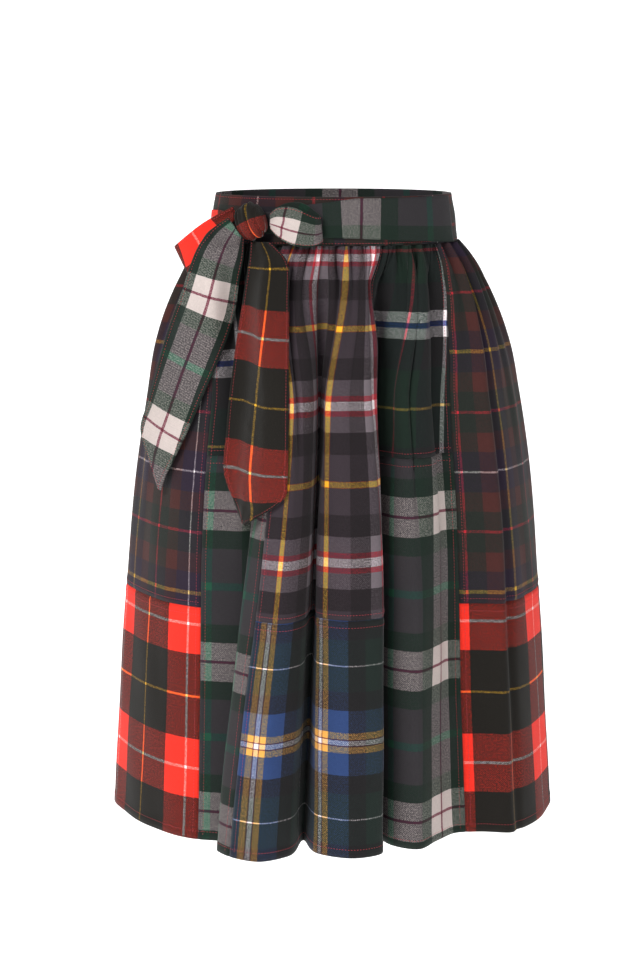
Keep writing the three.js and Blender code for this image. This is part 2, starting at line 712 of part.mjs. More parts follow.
// The knot: a wrapped barrel whose turns lean a little
const KNOT = { angle: -36, turn: -32, wide: 16.5, deep: 14, high: 20, lean: -24 };
const KNOT_WRAPS = [-0.45, 0.15, 0.6]; // grooves between the turns, along the barrel from -1 to 1
const KNOT_GROOVE = { deep: 0.12, wide: 0.1 };
const KNOT_ROUNDNESS = { along: 3.2, ends: 0.45 }; // exponents: a fuller middle, blunter ends

function knotGeometry() {
  const steps = 22;
  const profile = [];
  for (let i = 0; i <= steps; i += 1) {
    const along = -1 + (2 * i) / steps;
    const grooves = KNOT_WRAPS.map((wrap) => Math.exp(-(((along - wrap) / KNOT_GROOVE.wide) ** 2)));
    const groove = KNOT_GROOVE.deep * grooves.reduce((sum, one) => sum + one, 0);
    const full = (1 - Math.abs(along) ** KNOT_ROUNDNESS.along) ** KNOT_ROUNDNESS.ends;
    const radius = full * (1 - groove);
    profile.push(new THREE.Vector2(i === 0 || i === steps ? 0 : radius, along));
  }
  const geometry = new THREE.LatheGeometry(profile, 24);
  geometry.rotateZ(-Math.PI / 2);
  geometry.scale(KNOT.wide, KNOT.deep, KNOT.high);
  geometry.rotateY(radians(KNOT.lean));
  geometry.rotateZ(radians(KNOT.turn));
  const away = BAND_BULGE + LAY_GAP + TIE_WALL + SEAM_GAP + KNOT.deep;
  geometry.translate(...bandPoint(KNOT.angle, 0, away).toArray());
  return geometry;
}

// Materials, by tartan

function cloth(color) {
  return new THREE.MeshStandardMaterial({ color, roughness: 0.9, metalness: 0 });
}
const MATERIALS = {
  centre_upper: cloth("#5c5358"),
  centre_lower: cloth("#3d4a5e"),
  narrow_upper: cloth("#1c2622"),
  narrow_lower: cloth("#5a5f58"),
  side_upper: cloth("#37303c"),
  side_lower: cloth("#8e2f25"),
  band: cloth("#2e3338"),
  belt_green: cloth("#4c544e"),
  belt_red: cloth("#7e2a20"),
};
const COLUMN_KIND = { centre: "centre", side: "side", front: "narrow", back: "narrow" };

function piece(name, geometry, material) {
  const mesh = new THREE.Mesh(geometry, MATERIALS[material]);
  mesh.name = name;
  return mesh;
}

function makeSkirt() {
  const skirt = new THREE.Group();
  let from = FIRST_SEAM;
  for (const { name, width, seam } of COLUMNS) {
    const kind = COLUMN_KIND[name.split("_")[0]];
    const spread = kind === "side" ? SIDE_STEP : 1;
    const upper = patchGeometry(from, width, BAND_BOTTOM, seam, spread);
    const lower = patchGeometry(from, width, seam, HEM, spread);
    skirt.add(piece(`${name}_upper`, upper, `${kind}_upper`));
    skirt.add(piece(`${name}_lower`, lower, `${kind}_lower`));
    from += width;
  }
  return skirt;
}

function makeBelt() {
  const belt = new THREE.Group();
  belt.add(piece("strap_right", strapGeometry(RIGHT_STRAP, 24, 2), "belt_green"));
  belt.add(piece("strap_left", strapGeometry(LEFT_STRAP, 6, 2), "belt_red"));
  belt.add(piece("knot", knotGeometry(), "belt_red"));
  belt.add(piece("loop_right", loopGeometry(RIGHT_LOOP, 2, 4), "belt_green"));
  belt.add(piece("loop_left", loopGeometry(LEFT_LOOP, 2, 4), "belt_red"));
  belt.add(piece("tie_left", tieGeometry(LEFT_TIE, 1, 4), "belt_green"));
  belt.add(piece("tie_lower", tieGeometry(LOWER_TIE, 1, 4), "belt_red"));
  return belt;
}

const model = new THREE.Group();
model.add(piece("waistband", bandGeometry(), "band"));
model.add(makeSkirt());
model.add(makeBelt());

export default model;
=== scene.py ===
"""The gathered tartan patchwork skirt with its tied belt: cloth, sewing, finishes, light and camera.

Shapes are worked out in millimetres, in the CAD's frame, and written to Blender in metres.
Angles are in degrees round the skirt, 0 at the front and 90 at the right-hand side.
"""

import math

import bpy
import numpy as np
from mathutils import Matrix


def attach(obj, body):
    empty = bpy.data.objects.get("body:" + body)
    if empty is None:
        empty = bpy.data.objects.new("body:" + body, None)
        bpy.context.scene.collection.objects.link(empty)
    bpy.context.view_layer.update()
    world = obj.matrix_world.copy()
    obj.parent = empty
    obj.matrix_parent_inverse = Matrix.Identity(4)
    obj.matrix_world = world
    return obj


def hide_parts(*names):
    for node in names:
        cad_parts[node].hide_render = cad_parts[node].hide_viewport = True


MM = 0.001

# Cloth
WALL = 1.2  # one layer of the skirt
SEAM_GAP = 0.16  # between pieces that are sewn together
LAY_GAP = 0.5  # between a piece and what it lies on
TIE_WALL = 1.8  # the belt is sewn double

# Waistband
BAND_TOP = 26
BAND_BOTTOM = -26
BAND_TOP_SIDE = 130  # half width at the top rim
BAND_BOTTOM_SIDE = 137
BAND_TOP_FRONT = 98  # half depth at the top rim
BAND_BOTTOM_FRONT = 101.5
BAND_LAYER = 1.25  # from the outside of the band to the outside of its lining
LAYER_GAP = 0.05  # left between the two
BAND_BULGE = 0.8  # the middle of the band stands out a little
BAND_POINTS = 361  # of the mesh, round the band
BAND_ROWS = 19

# Waves in the band: size, waves round it, millimetres of height for each radian
BAND_WAVES = [(0.25, 9, 7), (0.2, 22, -5)]

# The band's two sheets: tartan, slot, how far out, cloth to a first pivot round it, and how far
# below a pivot its top lies
BAND_SHEETS = {
    "cloth_waistband": ("side_upper", "tartan_band", 0, -11, 33),
    "cloth_band_lining": ("narrow_lower", "tartan_belt_green", -BAND_LAYER, 30, 50),
}

# Skirt
HEM = -670
PATCH_SEAM_HIGH = -250  # between the patches of the narrow columns
PATCH_SEAM_LOW = -415  # between the patches of the wide columns
FIRST_SEAM = 31  # cloth from the left edge of the first fold to the centre front column
HIP = -240  # height where the folds' hip angles hold
FAN_OUT = 0.8  # share of the way down to the hip at which the folds reach those angles
WAIST_START = -0.086  # share of the way round at which the cloth's left edge meets the waist

# The columns of cloth, going round from the centre front: name, cut width, seam between its patches
COLUMNS = [
    ("centre_front", 300, PATCH_SEAM_LOW),
    ("front_right", 203, PATCH_SEAM_HIGH),
    ("side_right", 372, PATCH_SEAM_LOW),
    ("back_right", 203, PATCH_SEAM_HIGH),
    ("centre_back", 300, PATCH_SEAM_LOW),
    ("back_left", 203, PATCH_SEAM_HIGH),
    ("side_left", 372, PATCH_SEAM_LOW),
    ("front_left", 203, PATCH_SEAM_HIGH),
]
CLOTH = sum(width for name, width, seam in COLUMNS)

# The skirt's outline from the waist to the hem: height, half width, half depth
OUTLINE = [
    (-26, 136, 101),
    (-36, 145, 108),
    (-53, 158, 120),
    (-71, 168, 130),
    (-106, 184, 145),
    (-142, 196, 156),
    (-196, 207, 167),
    (-250, 216, 176),
    (-341, 227, 187),
    (-433, 234.5, 195),
    (-526, 241, 202),
    (-619, 246.6, 207.5),
    (-670, 249.5, 210),
]

# The folds' stations in order: an edge, a crest, an edge and the valley after it, for each fold.
# Columns: angle at the hip, angle at the hem, how far out of the outline at the hem.
FOLDS = [
    [(-22, -30.5, 0), (-10, -16, 26), (-6.9, -11.4, 0), (-5.4, -10.6, -66)],
    [(-3.2, -4, -14), (4.6, 4.5, 4), (12.6, 11.5, -8), (16.4, 16, -92)],
    [(20, 18.5, -36), (25, 23, -16), (37.5, 33, -38), (45, 44, -50)],
    [(50, 50, -35), (56, 55, -9), (64, 63, -7), (78, 80, -6)],
    [(95, 95, 1), (110, 111, -3), (121, 124, -8), (131, 131, -40)],
    [(140, 138, -14), (145, 144, 6), (151, 151, -8), (154, 152, -58)],
    [(158, 156, -14), (164, 163, 12), (169, 170, -4), (171, 170.5, -62)],
    [(175, 174, -14), (180, 180, 14), (187, 188, -2), (190, 188.5, -58)],
    [(194, 192, -18), (201, 200, 8), (207, 208, -8), (210, 209, -54)],
    [(214, 213, -20), (220, 220, 0), (226, 228, -18), (232, 235, -30)],
    [(243, 244, -8), (254, 254, 2), (266, 265, 3), (280, 280, -10)],
    [(298, 299, -16), (313, 316, -20), (328, 332, -40), (334.5, 343.5, -54)],
]
# How deep the folds are: height, share of their depth at the hem
FOLD_DEPTHS = [(-26, 0), (-60, 0.26), (-110, 0.52), (-240, 0.78), (-520, 1), (-670, 1)]

# Gathers at the waist, and the slow waves that make them uneven: how many, how strong, from where
GATHERS = 48
GATHER_DEPTH = 5.4  # crest to middle, at the seam
GATHER_SHORTEST = 75  # how far down the shortest and the longest ones run
GATHER_LONGEST = 200
GATHER_SHIFTS = [(3, 1.3, 0.4), (7, 0.9, 2)]
GATHER_SIZES = (11, 0.25, 1)
GATHER_LENGTHS = (13, 0.5, 0.7)

# Pleats that the gathers press in: place in the cloth, depth, length below the waist, width. The
# wide ones are the form's own; the narrow ones between them only the cloth has.
PLEATS = [
    (78, 13, 210, 12),
    (119, 9, 90, 24),
    (168, 9, 150, 12),
    (205, 13, 210, 12),
    (258, 12, 210, 24),
    (301, 13, 230, 12),
    (326, 10, 80, 24),
    (362, 17, 270, 12),
    (410, 12, 250, 24),
    (452, 16, 275, 12),
    (466, 5, 150, 24),
    (503, 16, 265, 12),
    (590, 4, 110, 24),
    (690, 4, 130, 24),
    (800, 5, 120, 24),
    (926, 17, 255, 12),
    (960, 9, 190, 24),
    (1005, 18, 265, 12),
    (1042, 17, 255, 12),
    (1078, 11, 230, 24),
    (1150, 9, 150, 24),
    (1190, 12, 210, 12),
    (1230, 11, 190, 12),
    (1262, 12, 240, 24),
    (1322, 11, 160, 24),
    (1372, 12, 210, 12),
    (1426, 12, 230, 12),
    (1455, 11, 230, 24),
    (1500, 17, 260, 12),
    (1543, 11, 180, 24),
    (1584, 16, 250, 12),
    (1745, 4, 120, 24),
    (1850, 4, 130, 24),
    (1930, 5, 110, 24),
    (2020, 13, 210, 24),
    (2052, 16, 275, 12),
    (2094, 15, 270, 12),
    (2126, 12, 170, 24),
    (2160, 17, 260, 12),
]
PLEAT_CROWDING = 0.55  # how much of the cloth beside a deep pleat is drawn in
DEEP_PLEAT = 16
PLEAT_START = 40  # how far below the waist a pleat reaches its full depth

# What only the cloth's own surface has
PUCKERS = 131  # small gathers along the waist seam
PUCKER_DEPTH = 2.1
PUCKER_LENGTH = 30  # how far down they run
PUCKER_SHIFTS = [(17, 1.1, 0), (29, 0.8, 1)]  # slow waves that make them uneven
UNEVEN_DEPTH = 0.7  # of the slow waves in hanging cloth
UNEVEN_FULL = 120  # how far below the waist they have their full depth
UNEVEN_WAVES = [(23, 61), (5, 47)]  # waves round the skirt, height for each radian
SEAM_DITCH = 0.7
DITCH_WIDE = 1.6
SEAM_RIDGE = 0.4  # over the seam allowance
SEAM_ALLOWANCE = 9
HEM_TURN = 12
HEM_RIDGE = 0.5  # where the hem is turned up
HEM_STEP = 1.5  # height over which it rises

# Soft creases in the cloth: place in it, height, length, slant in cloth a millimetre down, depth,
# width. Positive depths stand out.
CREASES = [
    (70, -300, 190, 0.10, 1.6, 17),
    (140, -470, 170, -0.06, -1.4, 15),
    (205, -350, 150, 0.04, 1.5, 14),
    (292, -520, 160, -0.05, 1.3, 16),
    (372, -330, 120, 0.12, -1.5, 12),
    (440, -560, 150, -0.04, 1.2, 14),
    (505, -400, 170, 0.06, -1.6, 16),
    (575, -230, 150, 0.16, 1.8, 18),
    (583, -320, 420, 0.0, 3.2, 9),
    (596, -320, 420, 0.0, -6.5, 7.5),
    (640, -330, 210, 0.10, -1.7, 20),
    (705, -190, 130, 0.20, 1.6, 17),
    (790, -420, 190, -0.08, 1.5, 21),
    (860, -280, 170, -0.15, -1.4, 18),
    (985, -450, 160, 0.05, 1.3, 15),
    (1075, -380, 150, -0.06, -1.5, 14),
    (1170, -520, 170, 0.04, 1.4, 16),
    (1265, -330, 150, 0.07, 1.5, 15),
    (1350, -480, 170, -0.05, -1.3, 14),
    (1470, -360, 150, 0.06, 1.6, 16),
    (1560, -500, 160, -0.07, 1.2, 15),
    (1690, -260, 180, -0.14, 1.7, 19),
    (1780, -360, 210, -0.09, -1.6, 20),
    (1860, -240, 150, -0.18, 1.5, 18),
    (1930, -440, 180, 0.05, 1.4, 17),
    (2050, -520, 150, 0.04, -1.3, 14),
    (2120, -400, 160, -0.06, 1.4, 15),
]

# Mesh of the skirt's cloth
CLOTH_STEP = 3.1
ROW_STEP = 4.4
WAIST_ROW_STEP = 2.6
WAIST_ROWS_TO = -60  # down to here the rows lie closer together

# Topstitching
STITCH = 2.3
STITCH_PITCH = 3.3
STITCH_WIDE = 0.75
STITCH_HIGH = 0.8
BESIDE_SEAM = 6
ABOVE_SEAM = 5.5  # the rows along a seam between two patches
BELOW_SEAM = 8
HEM_STITCH = 9  # above the hem
LINE_STEP_DOWN = 6.0  # between the points of a stitch line
LINE_STEP_ROUND = 3.0
LINE_FROM_WAIST = 3
LINE_TO_HEM = 2
BAND_EDGE_STITCH = 2.6
TIE_EDGE_STITCH = 3.2

# Tartans, from one pivot stripe's middle to the other's: colour and width. The pivots are halves.
# Colours are as a screen shows them; the material turns them into light.
COLOURS = {
    "near_black": (0.13, 0.11, 0.12),
    "mid_grey": (0.215, 0.185, 0.205),
    "light_grey": (0.42, 0.385, 0.405),
    "white": (0.97, 0.93, 0.935),
    "red": (0.69, 0.16, 0.20),
    "orange": (0.80, 0.32, 0.12),
    "yellow": (0.90, 0.68, 0.18),
    "green_black": (0.115, 0.155, 0.14),
    "black": (0.12, 0.115, 0.12),
    "blue": (0.18, 0.255, 0.42),
    "gold": (0.93, 0.66, 0.32),
    "maroon": (0.37, 0.13, 0.19),
    "dark_green": (0.095, 0.148, 0.12),
    "deep_blue": (0.12, 0.20, 0.52),
    "grey_white": (0.76, 0.71, 0.69),
    "black_purple": (0.19, 0.18, 0.19),
    "line_green": (0.12, 0.29, 0.22),
    "navy": (0.165, 0.13, 0.185),
    "teal_green": (0.14, 0.155, 0.14),
    "brown": (0.27, 0.15, 0.14),
    "line_yellow": (0.77, 0.60, 0.22),
    "scarlet": (0.93, 0.20, 0.15),
    "black_green": (0.115, 0.105, 0.09),
}
TARTANS = {
    "centre_upper": [
        ("yellow", 2.6), ("orange", 0.9), ("mid_grey", 28), ("near_black", 23),
        ("light_grey", 17), ("red", 6), ("white", 5),
    ],
    "centre_lower": [
        ("white", 2.5), ("maroon", 1.3), ("gold", 7), ("blue", 24), ("black", 20),
        ("green_black", 27), ("white", 0.9),
    ],
    "narrow_upper": [
        ("red", 1.8), ("dark_green", 40), ("black", 33), ("white", 12), ("deep_blue", 6),
        ("white", 12), ("black", 33), ("dark_green", 40), ("line_yellow", 2),
    ],
    "narrow_lower": [
        ("maroon", 1.6), ("grey_white", 19.5), ("dark_green", 20), ("black_purple", 37),
        ("line_green", 4.4),
    ],
    "side_upper": [
        ("line_yellow", 1.6), ("navy", 21), ("brown", 21), ("teal_green", 21), ("red", 3),
        ("teal_green", 21), ("brown", 21), ("navy", 21), ("white", 1.4),
    ],
    "side_lower": [
        ("white", 1.3), ("scarlet", 31), ("black_green", 45.5), ("yellow", 1.4),
    ],
}

# The upright stripes where they differ from the level ones
UPRIGHT_STRIPES = {
    "narrow_upper": [
        ("red", 1.8), ("dark_green", 45), ("black", 56), ("white", 5.5), ("black", 40),
        ("dark_green", 30), ("line_yellow", 2),
    ],
}

# Where the tartans lie on each patch: the cloth from its left edge to a first pivot, and the height
# of a first pivot.
PATCH_TARTANS = {
    "centre_front_upper": ("centre_upper", 27, -111),
    "centre_front_lower": ("centre_lower", 20, -546),
    "front_right_upper": ("narrow_upper", 100, -32),
    "front_right_lower": ("narrow_lower", 165, -312),
    "side_right_upper": ("side_upper", 76, -141),
    "side_right_lower": ("side_lower", 137, -434),
    "back_right_upper": ("narrow_upper", 104, -58),
    "back_right_lower": ("narrow_lower", 150, -330),
    "centre_back_upper": ("centre_upper", 60, -128),
    "centre_back_lower": ("centre_lower", 68, -520),
    "back_left_upper": ("narrow_upper", 112, -45),
    "back_left_lower": ("narrow_lower", 46, -318),
    "side_left_upper": ("side_upper", 222, -139),
    "side_left_lower": ("side_lower", 354, -434),
    "front_left_upper": ("narrow_upper", 152, -68),
    "front_left_lower": ("narrow_lower", 92, -309),
}
# How far upright stripes drift to the left for each millimetre down, where cloth is cut aslant
LEANING = {"front_right_upper": 0.08}


# Curves


def blend(a, b, t):
    return a + (b - a) * t


def smooth(t):
    t = np.clip(t, 0, 1)
    return t * t * (3 - 2 * t)


def hermite(at, value, where):
    """A cubic through uneven stations, read at many places."""
    at = np.asarray(at, float)
    value = np.asarray(value, float)
    spans = np.diff(at)
    rises = np.diff(value) / spans
    slopes = np.empty(len(at))
    slopes[0] = rises[0]
    slopes[-1] = rises[-1]
    slopes[1:-1] = (rises[:-1] * spans[1:] + rises[1:] * spans[:-1]) / (spans[:-1] + spans[1:])
    i = np.clip(np.searchsorted(at, where, side="right") - 1, 0, len(at) - 2)
    t = (where - at[i]) / spans[i]
    tt = t * t
    ttt = tt * t
    return (
        (2 * ttt - 3 * tt + 1) * value[i]
        + (ttt - 2 * tt + t) * spans[i] * slopes[i]
        + (3 * tt - 2 * ttt) * value[i + 1]
        + (ttt - tt) * spans[i] * slopes[i + 1]
    )


def catmull(points, count, closed):
    """A centripetal curve through points, read at count + 1 even steps of its points."""
    points = np.asarray(points, float)
    last = len(points) if closed else len(points) - 1
    if closed:
        points = np.concatenate([points[-1:], points, points[:3]])
    else:
        before, after = 2 * points[0] - points[1], 2 * points[-1] - points[-2]
        points = np.concatenate([[before], points, [after]])
    found = []
    for step in range(count + 1):
        place = last * step / count
        i = int(place) if closed else min(int(place), last - 1)
        t = place - i
        near = points[i:i + 4]
        gaps = [max(1e-4, np.linalg.norm(b - a) ** 0.5) for a, b in zip(near, near[1:])]
        steps = [b - a for a, b in zip(near, near[1:])]
        first = (
            steps[0] / gaps[0] - (near[2] - near[0]) / (gaps[0] + gaps[1]) + steps[1] / gaps[1]
        ) * gaps[1]
        second = (
            steps[1] / gaps[1] - (near[3] - near[1]) / (gaps[1] + gaps[2]) + steps[2] / gaps[2]
        ) * gaps[1]
        a, b = near[1], near[2]
        found.append(
            a + first * t + (3 * (b - a) - 2 * first - second) * t * t
            + (2 * (a - b) + first + second) * t ** 3
        )
    return np.array(found)


# The skirt's form


def outline_at(z):
    """The skirt's half width and half depth at a height."""
    heights = [-row[0] for row in OUTLINE]
    return [hermite(heights, [row[k] for row in OUTLINE], np.array([-z]))[0] for k in (1, 2)]


def on_oval(angle, side, front, out):
    scale = 1 + out / ((side + front) / 2)
    turn = np.radians(angle)
    return side * scale * np.sin(turn), -front * scale * np.cos(turn)


STATIONS = np.array([station for fold in FOLDS for station in fold], float)


def place_stations():
    """The cloth used up to each station, measured along the hem."""
    divisions = 40  # between two stations
    x, y = on_oval(STATIONS[:, 1], OUTLINE[-1][1], OUTLINE[-1][2], STATIONS[:, 2])
    line = catmull(np.column_stack([x, y]), divisions * len(STATIONS), True)
    lengths = np.concatenate([[0], np.cumsum(np.linalg.norm(np.diff(line, axis=0), axis=1))])
    return lengths[:-1:divisions] / lengths[-1] * CLOTH


STATION_CLOTH = place_stations()

WAIST_DEGREES = np.arange(361)
WAIST_X, WAIST_Y = on_oval(WAIST_DEGREES, OUTLINE[0][1], OUTLINE[0][2], 0)
WAIST_SHARES = np.concatenate([[0], np.cumsum(np.hypot(np.diff(WAIST_X), np.diff(WAIST_Y)))])
WAIST_SHARES /= WAIST_SHARES[-1]


def waist_angle(cloth):
    share = WAIST_START + cloth / CLOTH
    turns = np.floor(share)
    return 360 * turns + np.interp(share - turns, WAIST_SHARES, WAIST_DEGREES)


def fold_share(z):
    return np.interp(-z, [-row[0] for row in FOLD_DEPTHS], [row[1] for row in FOLD_DEPTHS])


# Times round the skirt, so that the stations go on past the cloth's ends
TURNS = np.arange(-2, 4)
ALL_CLOTH = np.concatenate([STATION_CLOTH + turn * CLOTH for turn in TURNS])


def folded(cloth, z):
    """The skirt with its folds, without pleats and gathers."""
    side, front = outline_at(z)
    hip = np.concatenate([STATIONS[:, 0] + 360 * turn for turn in TURNS])
    hem = np.concatenate([STATIONS[:, 1] + 360 * turn for turn in TURNS])
    out = np.tile(STATIONS[:, 2], len(TURNS))
    if z > HIP:
        down = (BAND_BOTTOM - z) / (BAND_BOTTOM - HIP)
        angle = blend(waist_angle(ALL_CLOTH), hip, smooth(down / FAN_OUT))
    else:
        below = (HIP - z) / (HIP - HEM)
        angle = blend(hip, hem, smooth(below) * 0.5 + below * 0.5)
    x, y = on_oval(angle, side, front, out * fold_share(z))
    return hermite(ALL_CLOTH, x, cloth), hermite(ALL_CLOTH, y, cloth)


def outward(place, cloth, z):
    """The level direction out of the cloth."""
    near = 3
    ax, ay = place(cloth - near, z)
    bx, by = place(cloth + near, z)
    length = np.hypot(bx - ax, by - ay)
    return (by - ay) / length, -(bx - ax) / length


def pleated(cloth, z):
    """The folded skirt with the pleats pressed in by the gathers."""
    down = BAND_BOTTOM - z
    drawn = np.zeros_like(cloth)
    depth = np.zeros_like(cloth)
    for at, deep, length, wide in PLEATS:
        off = cloth - at
        off = off - CLOTH * np.round(off / CLOTH)
        along = min(1, down / PLEAT_START) * math.exp(-((down / length) ** 4))
        across = np.exp(-((off / wide) ** 2)) * along
        drawn += off * across * PLEAT_CROWDING * deep / DEEP_PLEAT
        depth += deep * across
    x, y = folded(cloth - drawn, z)
    nx, ny = outward(folded, cloth - drawn, z)
    return x - nx * depth, y - ny * depth


def slow_wave(turn, row):
    waves, size, start = row
    return size * np.sin(waves * turn + start)


def gather_depth(cloth, z):
    """How far the gathers at the waist stand out of the pleated skirt."""
    turn = 2 * math.pi * cloth / CLOTH
    phase = GATHERS * turn + slow_wave(turn, GATHER_SHIFTS[0]) + slow_wave(turn, GATHER_SHIFTS[1])
    size = 1 - GATHER_SIZES[1] + slow_wave(turn, GATHER_SIZES)
    length = blend(GATHER_SHORTEST, GATHER_LONGEST, 0.5 + slow_wave(turn, GATHER_LENGTHS))
    down = BAND_BOTTOM - z
    return GATHER_DEPTH * size * np.cos(phase) * np.exp(-((down / length) ** 2))


def seam_relief(off):
    """A ditch along a seam, and the ridge that its allowance makes on both sides."""
    ditch = -SEAM_DITCH * np.exp(-((off / DITCH_WIDE) ** 2))
    return ditch + SEAM_RIDGE * np.exp(-((off / SEAM_ALLOWANCE) ** 4))


def relief(cloth, z):
    """How far the cloth's own surface stands out of the form."""
    turn = 2 * math.pi * cloth / CLOTH
    down = BAND_BOTTOM - z
    phase = PUCKERS * turn + slow_wave(turn, PUCKER_SHIFTS[0]) + slow_wave(turn, PUCKER_SHIFTS[1])
    out = PUCKER_DEPTH * np.cos(phase) * math.exp(-((down / PUCKER_LENGTH) ** 2))
    first, second = (np.sin(waves * turn + z / drop) for waves, drop in UNEVEN_WAVES)
    out = out + UNEVEN_DEPTH * first * second * smooth(down / UNEVEN_FULL)
    seam = FIRST_SEAM
    for name, width, middle in COLUMNS:
        off = cloth - seam
        off = off - CLOTH * np.round(off / CLOTH)
        out = out + seam_relief(off)
        inside = (off >= 0) & (off < width)
        out = out + np.where(inside, seam_relief(z - middle), 0)
        seam += width
    for at, height, length, slant, deep, wide in CREASES:
        drop = height - z
        off = cloth - at - slant * drop
        off = off - CLOTH * np.round(off / CLOTH)
        out = out + deep * np.exp(-((off / wide) ** 2) - (drop / length) ** 2)
    turned = smooth((HEM + HEM_TURN - z) / HEM_STEP)
    return out + HEM_RIDGE * turned


def skirt_row(cloth, z):
    """Points on the outside of the cloth at a height, and the level direction out of it."""
    x, y = pleated(cloth, z)
    nx, ny = outward(pleated, cloth, z)
    out = gather_depth(cloth, z) + relief(cloth, z)
    points = np.column_stack([x + nx * out, y + ny * out, np.full(len(cloth), float(z))])
    return points, np.column_stack([nx, ny, np.zeros(len(cloth))])


def drop_at(z):
    """Cloth between the waist seam and a height, down the slope of the skirt."""
    heights = np.linspace(BAND_BOTTOM, z, 60)
    reach = [sum(outline_at(h)) / 2 for h in heights]
    return float(np.sum(np.hypot(np.diff(heights), np.diff(reach))))


# Meshes


def add_mesh(name, points, faces, material):
    """A smooth object in the scene, its points in metres."""
    mesh = bpy.data.meshes.new(name)
    mesh.from_pydata(points, [], faces)
    mesh.polygons.foreach_set("use_smooth", [True] * len(faces))
    mesh.materials.append(material)
    piece = bpy.data.objects.new(name, mesh)
    bpy.context.scene.collection.objects.link(piece)
    return piece


def closed_sheet(name, outer, inner, uv, material):
    """A closed sheet through two grids of points, with the cloth's own measures as its UV map."""
    outer, inner, uv = np.array(outer), np.array(inner), np.array(uv)
    rows, columns = outer.shape[:2]
    count = rows * columns
    points = np.concatenate([outer.reshape(-1, 3), inner.reshape(-1, 3)])
    index = np.arange(count).reshape(rows, columns)
    a, b = index[:-1, :-1].ravel(), index[1:, :-1].ravel()
    c, d = index[1:, 1:].ravel(), index[:-1, 1:].ravel()
    faces = [np.column_stack([a, b, c, d]), np.column_stack([a, d, c, b]) + count]
    for line, turned in (
        (index[0], False), (index[-1], True), (index[:, 0], True), (index[:, -1], False),
    ):
        edge = np.column_stack([line[:-1], line[1:], line[1:] + count, line[:-1] + count])
        faces.append(edge[:, ::-1] if turned else edge)
    faces = np.concatenate(faces)
    piece = add_mesh(name, (points * MM).tolist(), faces.tolist(), material)
    layer = piece.data.uv_layers.new(name="Cloth")
    flat = np.concatenate([uv.reshape(-1, 2)] * 2) * MM
    layer.data.foreach_set("uv", flat[faces.ravel()].ravel())
    piece.data.update()
    return piece


def unit(vectors):
    return vectors / np.maximum(1e-9, np.linalg.norm(vectors, axis=-1, keepdims=True))


def grid_normals(grid):
    return unit(np.cross(np.gradient(grid, axis=0), np.gradient(grid, axis=1)))


def stitch_line(points, normals):
    """Places along a line for stitches: middle, direction and normal of each."""
    steps = np.linalg.norm(np.diff(points, axis=0), axis=1)
    along = np.concatenate([[0], np.cumsum(steps)])
    places = np.arange(STITCH_PITCH / 2, along[-1], STITCH_PITCH)

    def read(values, where):
        return np.column_stack([np.interp(where, along, values[:, k]) for k in range(3)])

    middle = read(points, places)
    ahead = read(points, np.minimum(places + STITCH / 2, along[-1]))
    behind = read(points, np.maximum(places - STITCH / 2, 0))
    return middle, unit(ahead - behind), unit(read(normals, places))


def stitches(name, lines, material):
    """One object of small stitches along many lines of points and normals."""
    middle, direction, normal = (
        np.concatenate(part) for part in zip(*[stitch_line(p, n) for p, n in lines])
    )
    side = np.cross(direction, normal)
    ends = [direction * STITCH / 2, -direction * STITCH / 2]
    sides = [side * STITCH_WIDE / 2, -side * STITCH_WIDE / 2]
    raised = [normal * STITCH_HIGH / 2, -normal * STITCH_HIGH / 2]
    points = np.stack([middle + part for part in ends + sides + raised], axis=1)
    corner = np.array([
        [0, 2, 4], [2, 1, 4], [1, 3, 4], [3, 0, 4], [2, 0, 5], [1, 2, 5], [3, 1, 5], [0, 3, 5],
    ])
    faces = (corner[None] + 6 * np.arange(len(middle))[:, None, None]).reshape(-1, 3)
    piece = add_mesh(name, (points.reshape(-1, 3) * MM).tolist(), faces.tolist(), material)
    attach(piece, "root")


# Finishes


def node(tree, kind, inputs=(), **settings):
    """A shader node with its settings, its inputs given as values or as sockets to join."""
    made = tree.nodes.new(f"ShaderNode{kind}")
    for name, value in settings.items():
        setattr(made, name, value)
    for key, value in dict(inputs).items():
        if isinstance(value, bpy.types.NodeSocket):
            tree.links.new(value, made.inputs[key])
        else:
            made.inputs[key].default_value = value
    return made


def new_material(name):
    """A material and its shader."""
    material = bpy.data.materials.new(name)
    material.use_nodes = True
    return material, material.node_tree.nodes["Principled BSDF"]


def maths(tree, operation, a, b=0.0, c=0.0):
    return node(tree, "Math", {0: a, 1: b, 2: c}, operation=operation).outputs[0]


def stripe_ramp(tree, place, sett):
    """The colour of a thread at a place in the cloth, in metres from a pivot."""
    half = sum(width for colour, width in sett) * MM
    inside = maths(tree, "DIVIDE", maths(tree, "PINGPONG", place, half), half)
    ramp = node(tree, "ValToRGB", {0: inside})
    ramp.color_ramp.interpolation = "CONSTANT"
    start = 0
    for n, (colour, width) in enumerate(sett):
        if n < 2:
            stop = ramp.color_ramp.elements[n]
            stop.position = start / half
        else:
            stop = ramp.color_ramp.elements.new(start / half)
        stop.color = (*COLOURS[colour], 1)
        start += width * MM
    return ramp.outputs[0]


WOOL = {
    "Roughness": 0.88, "Specular IOR Level": 0.22, "Sheen Weight": 0.06, "Sheen Roughness": 0.5,
}
TWILL_PITCH = 2.3
TWILL_MIX = 0.34  # how far the twill's diagonal brings out one colour or the other
FLECK_MIX = 1.3  # how much the threads' own unevenness hides or shows one colour
CROSSING_GAP_SHADE = 0.4  # how far a crossing of unlike threads falls towards the darker one: painted shade of the gaps between the yarns
YARN_NOISE = 0.16
WORN_NOISE = 0.10
THREAD_WANDER = 0.35  # how far the stripes' edges stray
WANDER_SCALE = 260.0
FLECK_SCALE = 620.0
WORN_SCALE = 22.0
YARN_ACROSS = 1500.0
YARN_ALONG = 160.0
YARN_HEIGHT = 0.6  # of the yarns' share in the bumps, against the twill's


